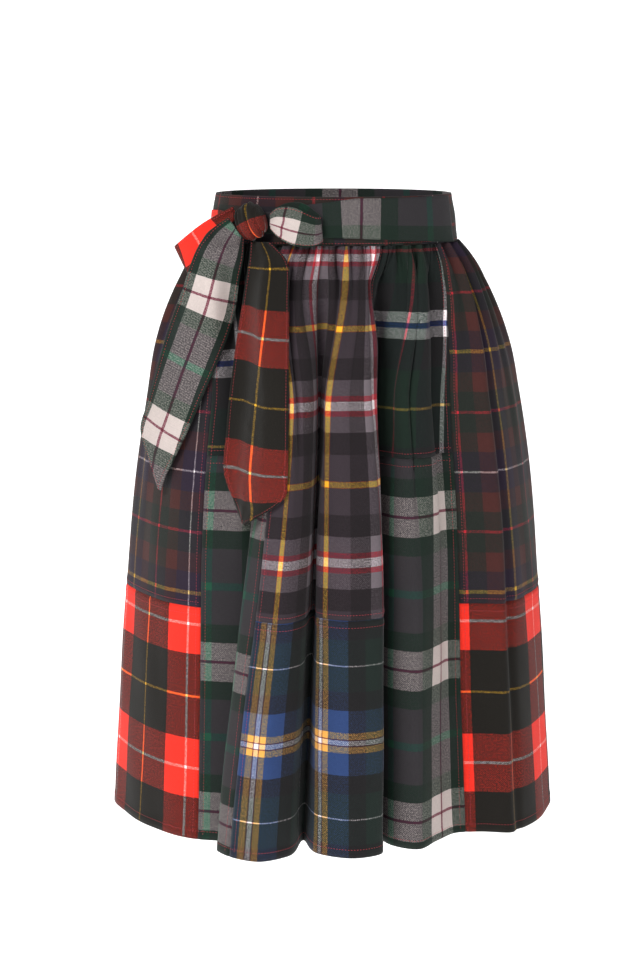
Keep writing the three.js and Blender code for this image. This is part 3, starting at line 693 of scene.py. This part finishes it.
def tartan(name, sett, upright):
    """A woollen twill in a tartan, from the UV map in metres of cloth, with painted shade where unlike
    threads cross.
    """
    material, shader = new_material(name)
    tree = material.node_tree
    uv = node(tree, "UVMap", uv_map="Cloth").outputs[0]
    wander = node(tree, "TexNoise", {"Vector": uv, "Scale": WANDER_SCALE, "Detail": 1.0})
    centred = node(
        tree, "VectorMath", {0: wander.outputs["Color"], 1: (0.5, 0.5, 0.5)},
        operation="SUBTRACT",
    ).outputs[0]
    shift = node(
        tree, "VectorMath", {0: centred, 1: (THREAD_WANDER * MM * 2,) * 3},
        operation="MULTIPLY",
    ).outputs[0]
    moved = node(tree, "VectorMath", {0: uv, 1: shift}, operation="ADD").outputs[0]
    place = node(tree, "SeparateXYZ", {0: moved})
    warp = stripe_ramp(tree, place.outputs[0], upright)
    weft = stripe_ramp(tree, place.outputs[1], sett)
    plain = node(tree, "SeparateXYZ", {0: uv})
    diagonal = maths(tree, "ADD", plain.outputs[0], plain.outputs[1])
    half = TWILL_PITCH * MM / 2
    twill = maths(tree, "DIVIDE", maths(tree, "PINGPONG", diagonal, half), half)
    fleck = node(tree, "TexNoise", {"Vector": uv, "Scale": FLECK_SCALE, "Detail": 0.0})
    share = maths(tree, "MULTIPLY_ADD", twill, 2 * TWILL_MIX, 0.5 - TWILL_MIX - FLECK_MIX / 2)
    share = maths(tree, "MULTIPLY_ADD", fleck.outputs[0], FLECK_MIX, share)
    share = node(tree, "Clamp", {0: share}).outputs[0]
    mixed = node(tree, "Mix", {0: share, 6: warp, 7: weft}, data_type="RGBA")
    # Painted shade: where unlike threads cross, the colour is drawn towards the darker thread, standing
    # in for the shade in the gaps between the yarns
    darker = node(
        tree, "Mix", {0: 1.0, 6: warp, 7: weft}, data_type="RGBA", blend_type="DARKEN",
    )
    crossed = node(
        tree, "Mix", {0: CROSSING_GAP_SHADE, 6: mixed.outputs[2], 7: darker.outputs[2]},
        data_type="RGBA",
    )
    both = []
    for scale in ((YARN_ACROSS, YARN_ALONG, 1.0), (YARN_ALONG, YARN_ACROSS, 1.0)):
        drawn_out = node(tree, "Mapping", {"Vector": uv, "Scale": scale}).outputs[0]
        both.append(node(tree, "TexNoise", {"Vector": drawn_out, "Scale": 1.0}).outputs[0])
    yarns = maths(tree, "ADD", *both)
    worn = node(tree, "TexNoise", {"Vector": uv, "Scale": WORN_SCALE, "Detail": 4.0})
    light = maths(tree, "MULTIPLY_ADD", yarns, YARN_NOISE, 1 - YARN_NOISE)
    wear = maths(tree, "MULTIPLY_ADD", worn.outputs[0], WORN_NOISE, -WORN_NOISE / 2)
    light = maths(tree, "ADD", light, wear)
    toned = node(tree, "VectorMath", {0: crossed.outputs[2]}, operation="SCALE")
    tree.links.new(light, toned.inputs["Scale"])
    linear = node(tree, "Gamma", {"Color": toned.outputs[0], "Gamma": 2.2})
    tree.links.new(linear.outputs[0], shader.inputs["Base Color"])
    height = maths(tree, "MULTIPLY_ADD", yarns, YARN_HEIGHT, twill)
    bump = node(
        tree, "Bump", {"Height": height, "Distance": 0.0003, "Strength": 0.55},
    )
    tree.links.new(bump.outputs[0], shader.inputs["Normal"])
    for socket, value in WOOL.items():
        shader.inputs[socket].default_value = value
    return material


def thread(name, colour):
    """Sewing thread, a little uneven in its colour."""
    material, shader = new_material(name)
    tree = material.node_tree
    where = node(tree, "TexCoord").outputs["Object"]
    noise = node(tree, "TexNoise", {"Vector": where, "Scale": 900.0})
    toned = node(
        tree, "Mix",
        {0: noise.outputs[0], 6: (*[0.75 * c for c in colour], 1), 7: (*colour, 1)},
        data_type="RGBA",
    )
    tree.links.new(toned.outputs[2], shader.inputs["Base Color"])
    bump = node(tree, "Bump", {"Height": noise.outputs[0], "Distance": 0.0001})
    tree.links.new(bump.outputs[0], shader.inputs["Normal"])
    shader.inputs["Roughness"].default_value = 0.6
    return material


# The scene

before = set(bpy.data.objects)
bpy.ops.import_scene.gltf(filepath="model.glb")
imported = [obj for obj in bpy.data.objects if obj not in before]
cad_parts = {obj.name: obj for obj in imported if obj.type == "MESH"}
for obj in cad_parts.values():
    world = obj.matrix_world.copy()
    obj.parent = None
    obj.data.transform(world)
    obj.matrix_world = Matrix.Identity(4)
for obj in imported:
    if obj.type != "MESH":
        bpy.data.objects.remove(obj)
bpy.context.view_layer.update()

FINISHES = {
    kind: tartan(f"tartan_{kind}", sett, UPRIGHT_STRIPES.get(kind, sett))
    for kind, sett in TARTANS.items()
}
THREAD = thread("thread_red", (0.50, 0.035, 0.05))


def skirt_heights(top, bottom):
    """Heights of the mesh rows between two seams, closer together at the waist."""
    heights = [top]
    while heights[-1] > bottom:
        step = WAIST_ROW_STEP if heights[-1] > WAIST_ROWS_TO else ROW_STEP
        heights.append(heights[-1] - step)
    heights = np.array(heights)
    return top + (heights - top) * (bottom - top) / (heights[-1] - top)


def make_patch(name, start, width, top, bottom):
    """One patch of the skirt, and its sheet's flat size."""
    kind, pivot, pivot_height = PATCH_TARTANS[name]
    count = round(width / CLOTH_STEP)
    edge_gap = SEAM_GAP / 2
    places = np.linspace(edge_gap, width - edge_gap, count + 1)
    heights = skirt_heights(top - edge_gap, bottom + (edge_gap if bottom > HEM else 0))
    outer, inner, uv = [], [], []
    for z in heights:
        points, normals = skirt_row(start + places, z)
        outer.append(points)
        inner.append(points - normals * WALL)
        drop = drop_at(z)
        lean = LEANING.get(name, 0) * drop
        down = np.full(len(places), drop - drop_at(pivot_height))
        uv.append(np.column_stack([places - pivot + lean, down]))
    piece = closed_sheet(f"cloth_{name}", outer, inner, uv, FINISHES[kind])
    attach(piece, "root")
    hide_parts(name)
    length = drop_at(bottom) - drop_at(top)
    return piece, (width * MM, length * MM)


def skirt_stitches():
    """Lines of stitches beside every seam of the skirt, and round its hem."""
    lines = []
    seam = FIRST_SEAM
    tall = np.arange(BAND_BOTTOM - LINE_FROM_WAIST, HEM + LINE_TO_HEM, -LINE_STEP_DOWN)
    for name, width, middle in COLUMNS:
        for off in (-BESIDE_SEAM, BESIDE_SEAM):
            rows = [skirt_row(np.array([float(seam + off)]), z) for z in tall]
            lines.append((
                np.array([points[0] for points, normals in rows]),
                np.array([normals[0] for points, normals in rows]),
            ))
        cloth = np.arange(seam + 1.0, seam + width, LINE_STEP_ROUND)
        for z in (middle + ABOVE_SEAM, middle - BELOW_SEAM):
            lines.append(skirt_row(cloth, z))
        seam += width
    lines.append(skirt_row(np.arange(0.0, CLOTH, LINE_STEP_ROUND), HEM + HEM_STITCH))
    return lines


def make_skirt():
    start = FIRST_SEAM
    for name, width, middle in COLUMNS:
        for part, top, bottom in (("upper", BAND_BOTTOM, middle), ("lower", middle, HEM)):
            piece, flat = make_patch(f"{name}_{part}", start, width, top, bottom)
        start += width
    stitches("topstitch_skirt", skirt_stitches(), THREAD)


# The waistband


def band_point(angle, z, out):
    """Points on the band's smooth surface, or this far out of it."""
    t = (BAND_TOP - z) / (BAND_TOP - BAND_BOTTOM)
    side = blend(BAND_TOP_SIDE, BAND_BOTTOM_SIDE, t) + out
    front = blend(BAND_TOP_FRONT, BAND_BOTTOM_FRONT, t) + out
    turn = np.radians(angle)
    return np.stack([side * np.sin(turn), -front * np.cos(turn), z + 0 * turn], axis=-1)


def band_arc(angle):
    """Cloth round the band from the front, in millimetres."""
    side = (BAND_TOP_SIDE + BAND_BOTTOM_SIDE) / 2
    front = (BAND_TOP_FRONT + BAND_BOTTOM_FRONT) / 2
    fine = np.arange(-360, 361)
    x, y = on_oval(fine, side, front, 0)
    arc = np.concatenate([[0], np.cumsum(np.hypot(np.diff(x), np.diff(y)))])
    return np.interp(angle, fine, arc - arc[360])


def band_swell(z):
    """How far the sewn band stands out between its stitched edges."""
    t = (BAND_TOP - z) / (BAND_TOP - BAND_BOTTOM)
    return BAND_BULGE * np.sin(math.pi * t)


def make_band():
    angles = np.linspace(0, 360, BAND_POINTS)
    heights = np.linspace(BAND_TOP, BAND_BOTTOM + SEAM_GAP, BAND_ROWS)
    for name, (kind, slot_name, lift, pivot, below_pivot) in BAND_SHEETS.items():
        outer, inner, uv = [], [], []
        for z in heights:
            wave = sum(
                size * np.sin(np.radians(angles) * waves + z / drop) for size, waves, drop in BAND_WAVES
            )
            swell = band_swell(z) * (1 + wave)
            outer.append(band_point(angles, z, swell + lift))
            inner.append(band_point(angles, z, swell + lift - BAND_LAYER + LAYER_GAP))
            uv.append(np.column_stack([
                band_arc(angles) - pivot, np.full(len(angles), below_pivot + BAND_TOP - z),
            ]))
        piece = closed_sheet(name, outer, inner, uv, FINISHES[kind])
        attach(piece, "root")
        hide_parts("waistband")
    lines = []
    for z in (BAND_TOP - BAND_EDGE_STITCH, BAND_BOTTOM + BAND_EDGE_STITCH):
        points = band_point(angles, z, band_swell(z))
        normals = points * np.array([1, 1, 0])
        lines.append((points, normals))
    stitches("topstitch_band", lines, THREAD)


# The belt

STRAP_LIFT = BAND_BULGE + LAY_GAP
STRAP_CUT = 28  # half the cloth that shows; the rest is turned under

# The straps on the waistband: angle, top and bottom edge
RIGHT_STRAP = [
    (-47, 8, -12),
    (-28, 10, -14),
    (-12, 18, -17),
    (10, 24.5, -18),
    (40, 25, -22),
    (62, 25, -25),
    (70, 24.5, -25.5),
]
LEFT_STRAP = [(-82, 8, -18), (-66, 9, -16), (-49, 4, -14)]

# The hanging ends and the loops, row by row: left edge and right edge (x, z, lift), how far the
# middle stands out, and the cut's left and right edge in the cloth, from the middle of the tie.
# On an end lift is the distance in front of what it hangs on, on a loop in front of the origin.
# The loops have no crown and the tie's full cut, so their rows hold only the two edges.
LEFT_TIE = [
    ((-113, 4, 37), (-97, -19, 24), 2, -32, 32),
    ((-134, -11, 64), (-97, -38, 19), 2, -32, 32),
    ((-147, -30, 54), (-101, -60, 12), 3, -32, 32),
    ((-166, -82, 27), (-108, -104, 5), 3, -32, 32),
    ((-180, -119, 5), (-124, -148, 3), 3, -32, 32),
    ((-191, -155, 3), (-140, -184, 3), 3, -30, 30),
    ((-203, -198, 3), (-157, -223, 3), 3, -28, 28),
    ((-213, -232, 3), (-174, -258, 3), 2, -26, 22),
    ((-203, -264, 3), (-183, -276, 3), 1, -7, 17),
    ((-192, -291, 3), (-188.5, -293, 3), 0, 11, 15),
]
LOWER_TIE = [
    ((-89, -22, 8), (-68, -22, 8), 3, -34, 34),
    ((-91, -42, 8), (-50, -42, 8), 4, -34, 34),
    ((-97, -80, 5), (-48, -80, 5), 4, -33, 35),
    ((-105, -131, 1.7), (-48, -131, 1.7), 4, -31, 37),
    ((-112, -183, 1.7), (-48, -183, 1.7), 4, -29, 39),
    ((-116, -228, 1.7), (-48, -228, 1.7), 4, -27, 41),
    ((-118, -267, 1.7), (-49, -265, 1.7), 3, -26, 42),
    ((-109, -293, 1.7), (-51, -281, 1.7), 2, -18, 40),
    ((-99, -315, 1.7), (-95, -315, 1.7), 0, -8, -4),
]
RIGHT_LOOP = [
    ((-68, -8, 100), (-68, 8, 100)),
    ((-60, -16, 107), (-60, 15, 107)),
    ((-44, -24, 116), (-45, 16, 114)),
    ((-28, -26, 119), (-31, 11, 116)),
    ((-17, -24, 118), (-20, 6, 115)),
    ((-12.5, -20, 112), (-15, 6, 110)),
    ((-20, -15, 107), (-21, 12, 106)),
    ((-34, -10, 105), (-34, 20, 105)),
    ((-50, -9, 101), (-50, 20, 101)),
    ((-66, -7, 92.2), (-66, 12, 91.9)),
]
LEFT_LOOP = [
    ((-108, 15, 78), (-107, -14, 84)),
    ((-122, 8, 75), (-112, -34, 88)),
    ((-142, -4, 67), (-124, -56, 91)),
    ((-162, -20, 57), (-138, -70, 91)),
    ((-173, -30, 47), (-147, -77, 84)),
    ((-171, -30, 40), (-147, -77, 77)),
    ((-158, -20, 44), (-136, -70, 82)),
    ((-140, -4, 54), (-124, -52, 82)),
    ((-124, 4, 62), (-114, -30, 77)),
    ((-107.5, 10, 64.5), (-107.5, -12, 66.5)),
]

TIE_CUT = 32  # half the width of a sewn tie
BRIDGE = 12  # a tie lies on the cloth that is this near to each side of it
SAG = 4  # how far it falls back at that distance
TIES_FROM = -480  # the skirt's cloth that lies behind the ties
TIES_TO = 440
CLOTH_BEHIND_STEP = 5.0
BAND_TURN = 0.95  # share of the band's half width up to which its oval is followed
TAUT_STEPS = 14  # times that a hanging end is drawn level with what is round it
TIP_FROM = 0.76  # share of a hanging end's length from which only its cut tip slants

# The lattice over which the reach of band and skirt is worked out
REACH_TOP = 30.0
REACH_BOTTOM = -331.0
REACH_LEFT = -250.0
REACH_RIGHT = 60.0
LEVEL_STEP = 3.0
ACROSS_STEP = 2.0
INSIDE_LAST = 1.001  # keeps a place inside the last square


def make_reach():
    """How far forward the band and the skirt below it reach, over a lattice of x and z."""
    levels = np.arange(REACH_TOP, REACH_BOTTOM, -LEVEL_STEP)
    across = np.arange(REACH_LEFT, REACH_RIGHT, ACROSS_STEP)
    cloth = np.arange(TIES_FROM, TIES_TO, CLOTH_BEHIND_STEP)
    reach = np.zeros((len(levels), len(across)))
    for n, z in enumerate(levels):
        side = blend(BAND_TOP_SIDE, BAND_BOTTOM_SIDE, (BAND_TOP - z) / (BAND_TOP - BAND_BOTTOM))
        share = np.minimum(BAND_TURN, np.abs(across) / side)
        band = BAND_BOTTOM_FRONT * np.sqrt(1 - share * share) + BAND_BULGE
        if z > BAND_BOTTOM:
            reach[n] = band
            continue
        points = skirt_row(cloth, z)[0]
        off = (points[:, 0][None] - across[:, None]) / BRIDGE
        seen = np.where(np.abs(off) < 1, -points[:, 1][None] - SAG * off * off, 0)
        reach[n] = np.maximum(seen.max(axis=1), band if z > BAND_BOTTOM - BRIDGE else 0)

    def read(x, z):
        i = np.clip((levels[0] - z) / LEVEL_STEP, 0, len(levels) - INSIDE_LAST)
        j = np.clip((x - across[0]) / ACROSS_STEP, 0, len(across) - INSIDE_LAST)
        r, c = i.astype(int), j.astype(int)
        upper = blend(reach[r, c], reach[r, c + 1], j - c)
        lower = blend(reach[r + 1, c], reach[r + 1, c + 1], j - c)
        return blend(upper, lower, i - r)

    return read


def edge_grid(rows, per_gap, across):
    """Points (x, z, lift) between the rows of a table, with crown and cut at each."""
    count = (len(rows) - 1) * per_gap
    left = catmull([row[0] for row in rows], count, False)
    right = catmull([row[1] for row in rows], count, False)
    steps = np.arange(count + 1) / per_gap
    numbers = np.arange(len(rows))
    crown, cut_left, cut_right = (
        np.interp(steps, numbers, [row[k] for row in rows]) for k in (2, 3, 4)
    )
    t = np.linspace(0, 1, across + 1)[None, :, None]
    grid = blend(left[:, None], right[:, None], t)
    cut = blend(cut_left[:, None], cut_right[:, None], t[..., 0])
    return grid, crown[:, None] * (1 - (2 * t[..., 0] - 1) ** 2), cut


def drawn_taut(lift):
    """Lifts a hanging end where what it hangs on falls away sharply."""
    for step in range(TAUT_STEPS):
        wider = np.pad(lift, 1, mode="edge")
        near = (wider[:-2, 1:-1] + wider[2:, 1:-1] + wider[1:-1, :-2] + wider[1:-1, 2:]) / 4
        lift = np.maximum(lift, near)
    return lift


def along_cloth(grid, straight):
    """Distance down the middle of a ribbon, at each of its points. From a share of its length on,
    the cloth runs straight and only its cut end slants."""
    middle = grid[:, grid.shape[1] // 2]
    way = np.gradient(middle, axis=0)
    way /= np.linalg.norm(way, axis=1, keepdims=True)
    held = min(len(way) - 1, int(len(way) * straight))
    way[held:] = way[held]
    steps = np.einsum("rk,rk->r", np.diff(middle, axis=0), way[1:])
    length = np.concatenate([[0], np.cumsum(steps)])
    return length[:, None] + np.einsum("rck,rk->rc", grid - middle[:, None], way)


def edge_lines(grid, normals, cut, wall):
    """Lines for stitches along both edges of a ribbon, on its outside."""
    lines = []
    for edge, inwards in ((0, 1), (-1, -1)):
        width = np.abs(cut[:, -1] - cut[:, 0])
        share = np.minimum(0.5, TIE_EDGE_STITCH / np.maximum(1, width))
        place = share * (grid.shape[1] - 1)
        low = place.astype(int)
        part = (place - low)[:, None]
        rows = np.arange(len(grid))
        first = low if inwards > 0 else grid.shape[1] - 1 - low
        second = first + inwards
        points = blend(grid[rows, first], grid[rows, second], part)
        facing = blend(normals[rows, first], normals[rows, second], part)
        lines.append((points + facing * wall / 2, facing))
    return lines


def make_ribbon(name, kind, grid, cut, pivots, stretch):
    """A sewn band of cloth through a grid of points, half its wall to each side of them."""
    normals = grid_normals(grid)
    across_pivot, along_pivot = pivots
    hangs = name.startswith("tie")
    length = along_cloth(grid[..., ::2], TIP_FROM) if hangs else along_cloth(grid, 1)
    uv = np.stack([cut - across_pivot, length * stretch - along_pivot], axis=-1)
    outer = grid + normals * TIE_WALL / 2
    inner = grid - normals * TIE_WALL / 2
    piece = closed_sheet(f"cloth_{name}", outer, inner, uv, FINISHES[kind])
    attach(piece, "root")
    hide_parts(name)
    return piece, edge_lines(grid, normals, cut, TIE_WALL)


def soft_folds(steps, across, depth, folds, length, start=0.0):
    """Lengthwise folds that the knot presses into a tie, fading along it."""
    t = np.linspace(0, 1, across)[None]
    s = np.arange(steps)[:, None]
    wave = np.cos(2 * math.pi * folds * t + 0.5 * np.sin(s / 9) + start)
    return depth * wave * np.exp(-((s / length) ** 2))


def hanging_tie(rows, folds, depth, fade):
    """The grid of a hanging end, on the reach of what is behind it."""
    grid, crown, cut = edge_grid(rows, 9, 24)
    steps, across = grid.shape[:2]
    x, z = grid[..., 0], grid[..., 1]
    ripple = soft_folds(steps, across, depth, folds, fade)
    sway = 0.9 * np.sin(np.arange(steps)[:, None] / 11 + 1.5) * np.linspace(-1, 1, across)[None]
    lift = drawn_taut(REACH(x, z) + grid[..., 2]) + crown + ripple + sway + TIE_WALL / 2
    return np.stack([x, -lift, z], axis=-1), cut


def loop_grid(rows, folds, depth, fade):
    """The grid of a loop of the bow, out from the knot and back to it."""
    grid, crown, cut = edge_grid([(*row, 0, -TIE_CUT, TIE_CUT) for row in rows], 8, 24)
    steps, across = grid.shape[:2]
    ends = soft_folds(steps, across, depth, folds, fade)
    lift = grid[..., 2] + ends + ends[::-1] * 0.3
    return np.stack([grid[..., 0], -lift, grid[..., 1]], axis=-1), cut


def strap_grid(rows, steps, across):
    """The grid of a strap that lies on the waistband."""
    angles = np.linspace(rows[0][0], rows[-1][0], steps + 1)
    top, bottom = (np.interp(angles, [r[0] for r in rows], [r[k] for r in rows]) for k in (1, 2))
    t = np.linspace(0, 1, across + 1)
    z = blend(top[:, None], bottom[:, None], t[None])
    sag = 0.35 * np.sin(angles[:, None] / 9 + 3 * t[None]) * np.sin(math.pi * t[None])
    grid = band_point(angles[:, None] + 0 * z, z, STRAP_LIFT + TIE_WALL / 2 + sag)
    cut = blend(-STRAP_CUT, STRAP_CUT, t[None]) + 0 * z
    return grid, cut


# The knot: its angle round the band, its own turn and lean, and the barrel's half sizes
KNOT = {"angle": -36, "turn": -32, "wide": 16.5, "deep": 14, "high": 20, "lean": -24}
KNOT_PIVOTS = (-72, 62)  # of its tartan, across and along the wrapped tie
KNOT_CLEARANCE = 0.3  # behind the barrel
KNOT_WRAPS = [-0.45, 0.15, 0.6]  # where the grooves between its turns run
KNOT_GROOVE = {"deep": 0.2, "wide": 0.085, "slant": 0.16}
KNOT_ROUNDNESS = {"along": 3.2, "ends": 0.45}


def make_knot():
    """The wrapped barrel of the knot, with the turns of the tie running round it."""
    along = np.sin(np.linspace(-math.pi / 2, math.pi / 2, 61)) * 0.9995
    round_it = np.linspace(0, 2 * math.pi, 73)
    s, turn = np.meshgrid(along, round_it, indexing="ij")
    groove = 0 * s
    for n, wrap in enumerate(KNOT_WRAPS):
        place = wrap + KNOT_GROOVE["slant"] * np.sin(turn + 0.7 + n)
        groove = groove + np.exp(-(((s - place) / KNOT_GROOVE["wide"]) ** 2))
    full = (1 - np.abs(s) ** KNOT_ROUNDNESS["along"]) ** KNOT_ROUNDNESS["ends"]
    bunched = 1 + 0.022 * np.cos(15 * s + 1.6 * np.sin(turn)) + 0.02 * np.sin(2 * turn + 5 * s)
    radius = full * (1 - KNOT_GROOVE["deep"] * groove) * bunched
    local = np.stack([
        s * KNOT["wide"], radius * np.sin(turn) * KNOT["deep"], radius * np.cos(turn) * KNOT["high"],
    ], axis=-1)
    lean, swing = math.radians(KNOT["lean"]), math.radians(KNOT["turn"])
    x = local[..., 0] * math.cos(lean) + local[..., 2] * math.sin(lean)
    z = local[..., 2] * math.cos(lean) - local[..., 0] * math.sin(lean)
    y = local[..., 1]
    grid = np.stack([
        x * math.cos(swing) - y * math.sin(swing), x * math.sin(swing) + y * math.cos(swing), z,
    ], axis=-1)
    away = BAND_BULGE + LAY_GAP + 2 + KNOT_CLEARANCE + KNOT["deep"]
    middle = band_point(np.array(float(KNOT["angle"])), 0, away)
    outer = grid + middle
    inner = grid * 0.9 + middle
    uv = np.stack([s * 34 - KNOT_PIVOTS[0], turn * KNOT["high"] - KNOT_PIVOTS[1]], axis=-1)
    knot = closed_sheet("cloth_knot", outer, inner, uv, FINISHES["side_lower"])
    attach(knot, "root")
    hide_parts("knot")
    return knot


REACH = make_reach()

# Each ribbon of the belt: its node, tartan, pivots across and along it, cloth taken up, flat width
# and length in metres
RIBBONS = [
    ("strap_right", "narrow_lower", (50, -29), 1.0, 0.05, 0.245),
    ("strap_left", "side_lower", (-10, -8), 1.0, 0.034, 0.063),
    ("loop_right", "narrow_lower", (-8, 20), 1.15, 0.042, 0.118),
    ("loop_left", "side_lower", (-34, 52), 1.1, 0.058, 0.16),
    ("tie_left", "narrow_lower", (0, 84), 1.06, 0.062, 0.33),
    ("tie_lower", "side_lower", (-76, 111), 1.117, 0.066, 0.3),
]


# How each ribbon's grid is made: from its rows, with a strap's mesh steps along and across, or the
# count, depth and length of the folds that the knot presses in
RIBBON_FORMS = {
    "strap_right": strap_grid(RIGHT_STRAP, 90, 16),
    "strap_left": strap_grid(LEFT_STRAP, 24, 12),
    "loop_right": loop_grid(RIGHT_LOOP, 2.5, 1.2, 22),
    "loop_left": loop_grid(LEFT_LOOP, 2.5, 1.2, 22),
    "tie_left": hanging_tie(LEFT_TIE, 1.5, 2.2, 26),
    "tie_lower": hanging_tie(LOWER_TIE, 2, 2.0, 24),
}


def make_belt():
    knot = make_knot()
    lines = []
    for name, kind, pivots, stretch, width, length in RIBBONS:
        grid, cut = RIBBON_FORMS[name]
        piece, edges = make_ribbon(name, kind, grid, cut, pivots, stretch)
        lines += edges
    stitches("topstitch_belt", lines, THREAD)


make_skirt()
make_band()
make_belt()


# Light, floor and camera

# A pale floor that sweeps up into a pale wall behind: its profile, seen from the side
FLOOR_HEIGHT = -0.95
SWEEP_RADIUS = 1.5
SWEEP_START = 3.0
SWEEP_STEPS = 16
FLOOR_FROM = -8.0
FLOOR_SIDE = 7
WALL_TOP = 5.0
FLOOR_GLOW = 0.72
SKY_LIGHT = 0.28
profile = [(FLOOR_FROM, FLOOR_HEIGHT)]
for step in range(SWEEP_STEPS + 1):
    turn = math.pi / 2 * step / SWEEP_STEPS
    profile.append((
        SWEEP_START + SWEEP_RADIUS * math.sin(turn), FLOOR_HEIGHT + SWEEP_RADIUS * (1 - math.cos(turn)),
    ))
profile.append((SWEEP_START + SWEEP_RADIUS, WALL_TOP))
floor_points = [(x, y, z) for y, z in profile for x in (-FLOOR_SIDE, FLOOR_SIDE)]
floor_faces = [(2 * n, 2 * n + 1, 2 * n + 3, 2 * n + 2) for n in range(len(profile) - 1)]
pale, pale_shader = new_material("pale_floor")
pale_shader.inputs["Base Color"].default_value = (0.94, 0.94, 0.94, 1)
pale_shader.inputs["Roughness"].default_value = 0.9
pale_shader.inputs["Emission Color"].default_value = (1, 1, 1, 1)
pale_shader.inputs["Emission Strength"].default_value = FLOOR_GLOW
floor = add_mesh("floor", floor_points, floor_faces, pale)

world = bpy.data.worlds.new("white")
world.use_nodes = True
world.node_tree.nodes["Background"].inputs[0].default_value = (1, 1, 1, 1)
world.node_tree.nodes["Background"].inputs[1].default_value = SKY_LIGHT
bpy.context.scene.world = world

# Soft lights: place, aim, size and power, in metres and watts
LIGHTS = [
    ("key", (-1.5, -2.3, 1.6), (0, 0, -0.3), 1.3, 80),
    ("fill", (2.0, -2.2, 0.3), (0, 0, -0.35), 1.8, 14),
]
for name, place, aim, size, power in LIGHTS:
    lamp = bpy.data.lights.new(name, "AREA")
    lamp.energy = power
    lamp.size = size
    holder = bpy.data.objects.new(name, lamp)
    holder.location = place
    way = np.array(aim) - np.array(place)
    holder.rotation_euler = (
        math.atan2(math.hypot(way[0], way[1]), -way[2]), 0, math.atan2(way[1], way[0]) - math.pi / 2,
    )
    bpy.context.scene.collection.objects.link(holder)

# In metres, degrees and millimetres
CAMERA_PLACE = (-0.015, -2.9, 0.17)
CAMERA_DOWN = 9.12
CAMERA_LENS = 98
camera_data = bpy.data.cameras.new("camera")
camera_data.lens = CAMERA_LENS
camera_data.sensor_width = 36
camera_data.clip_end = 50
camera = bpy.data.objects.new("camera", camera_data)
camera.location = CAMERA_PLACE
camera.rotation_euler = (math.radians(90 - CAMERA_DOWN), 0, 0)
bpy.context.scene.collection.objects.link(camera)
bpy.context.scene.camera = camera
bpy.context.scene.view_settings.view_transform = "Standard"
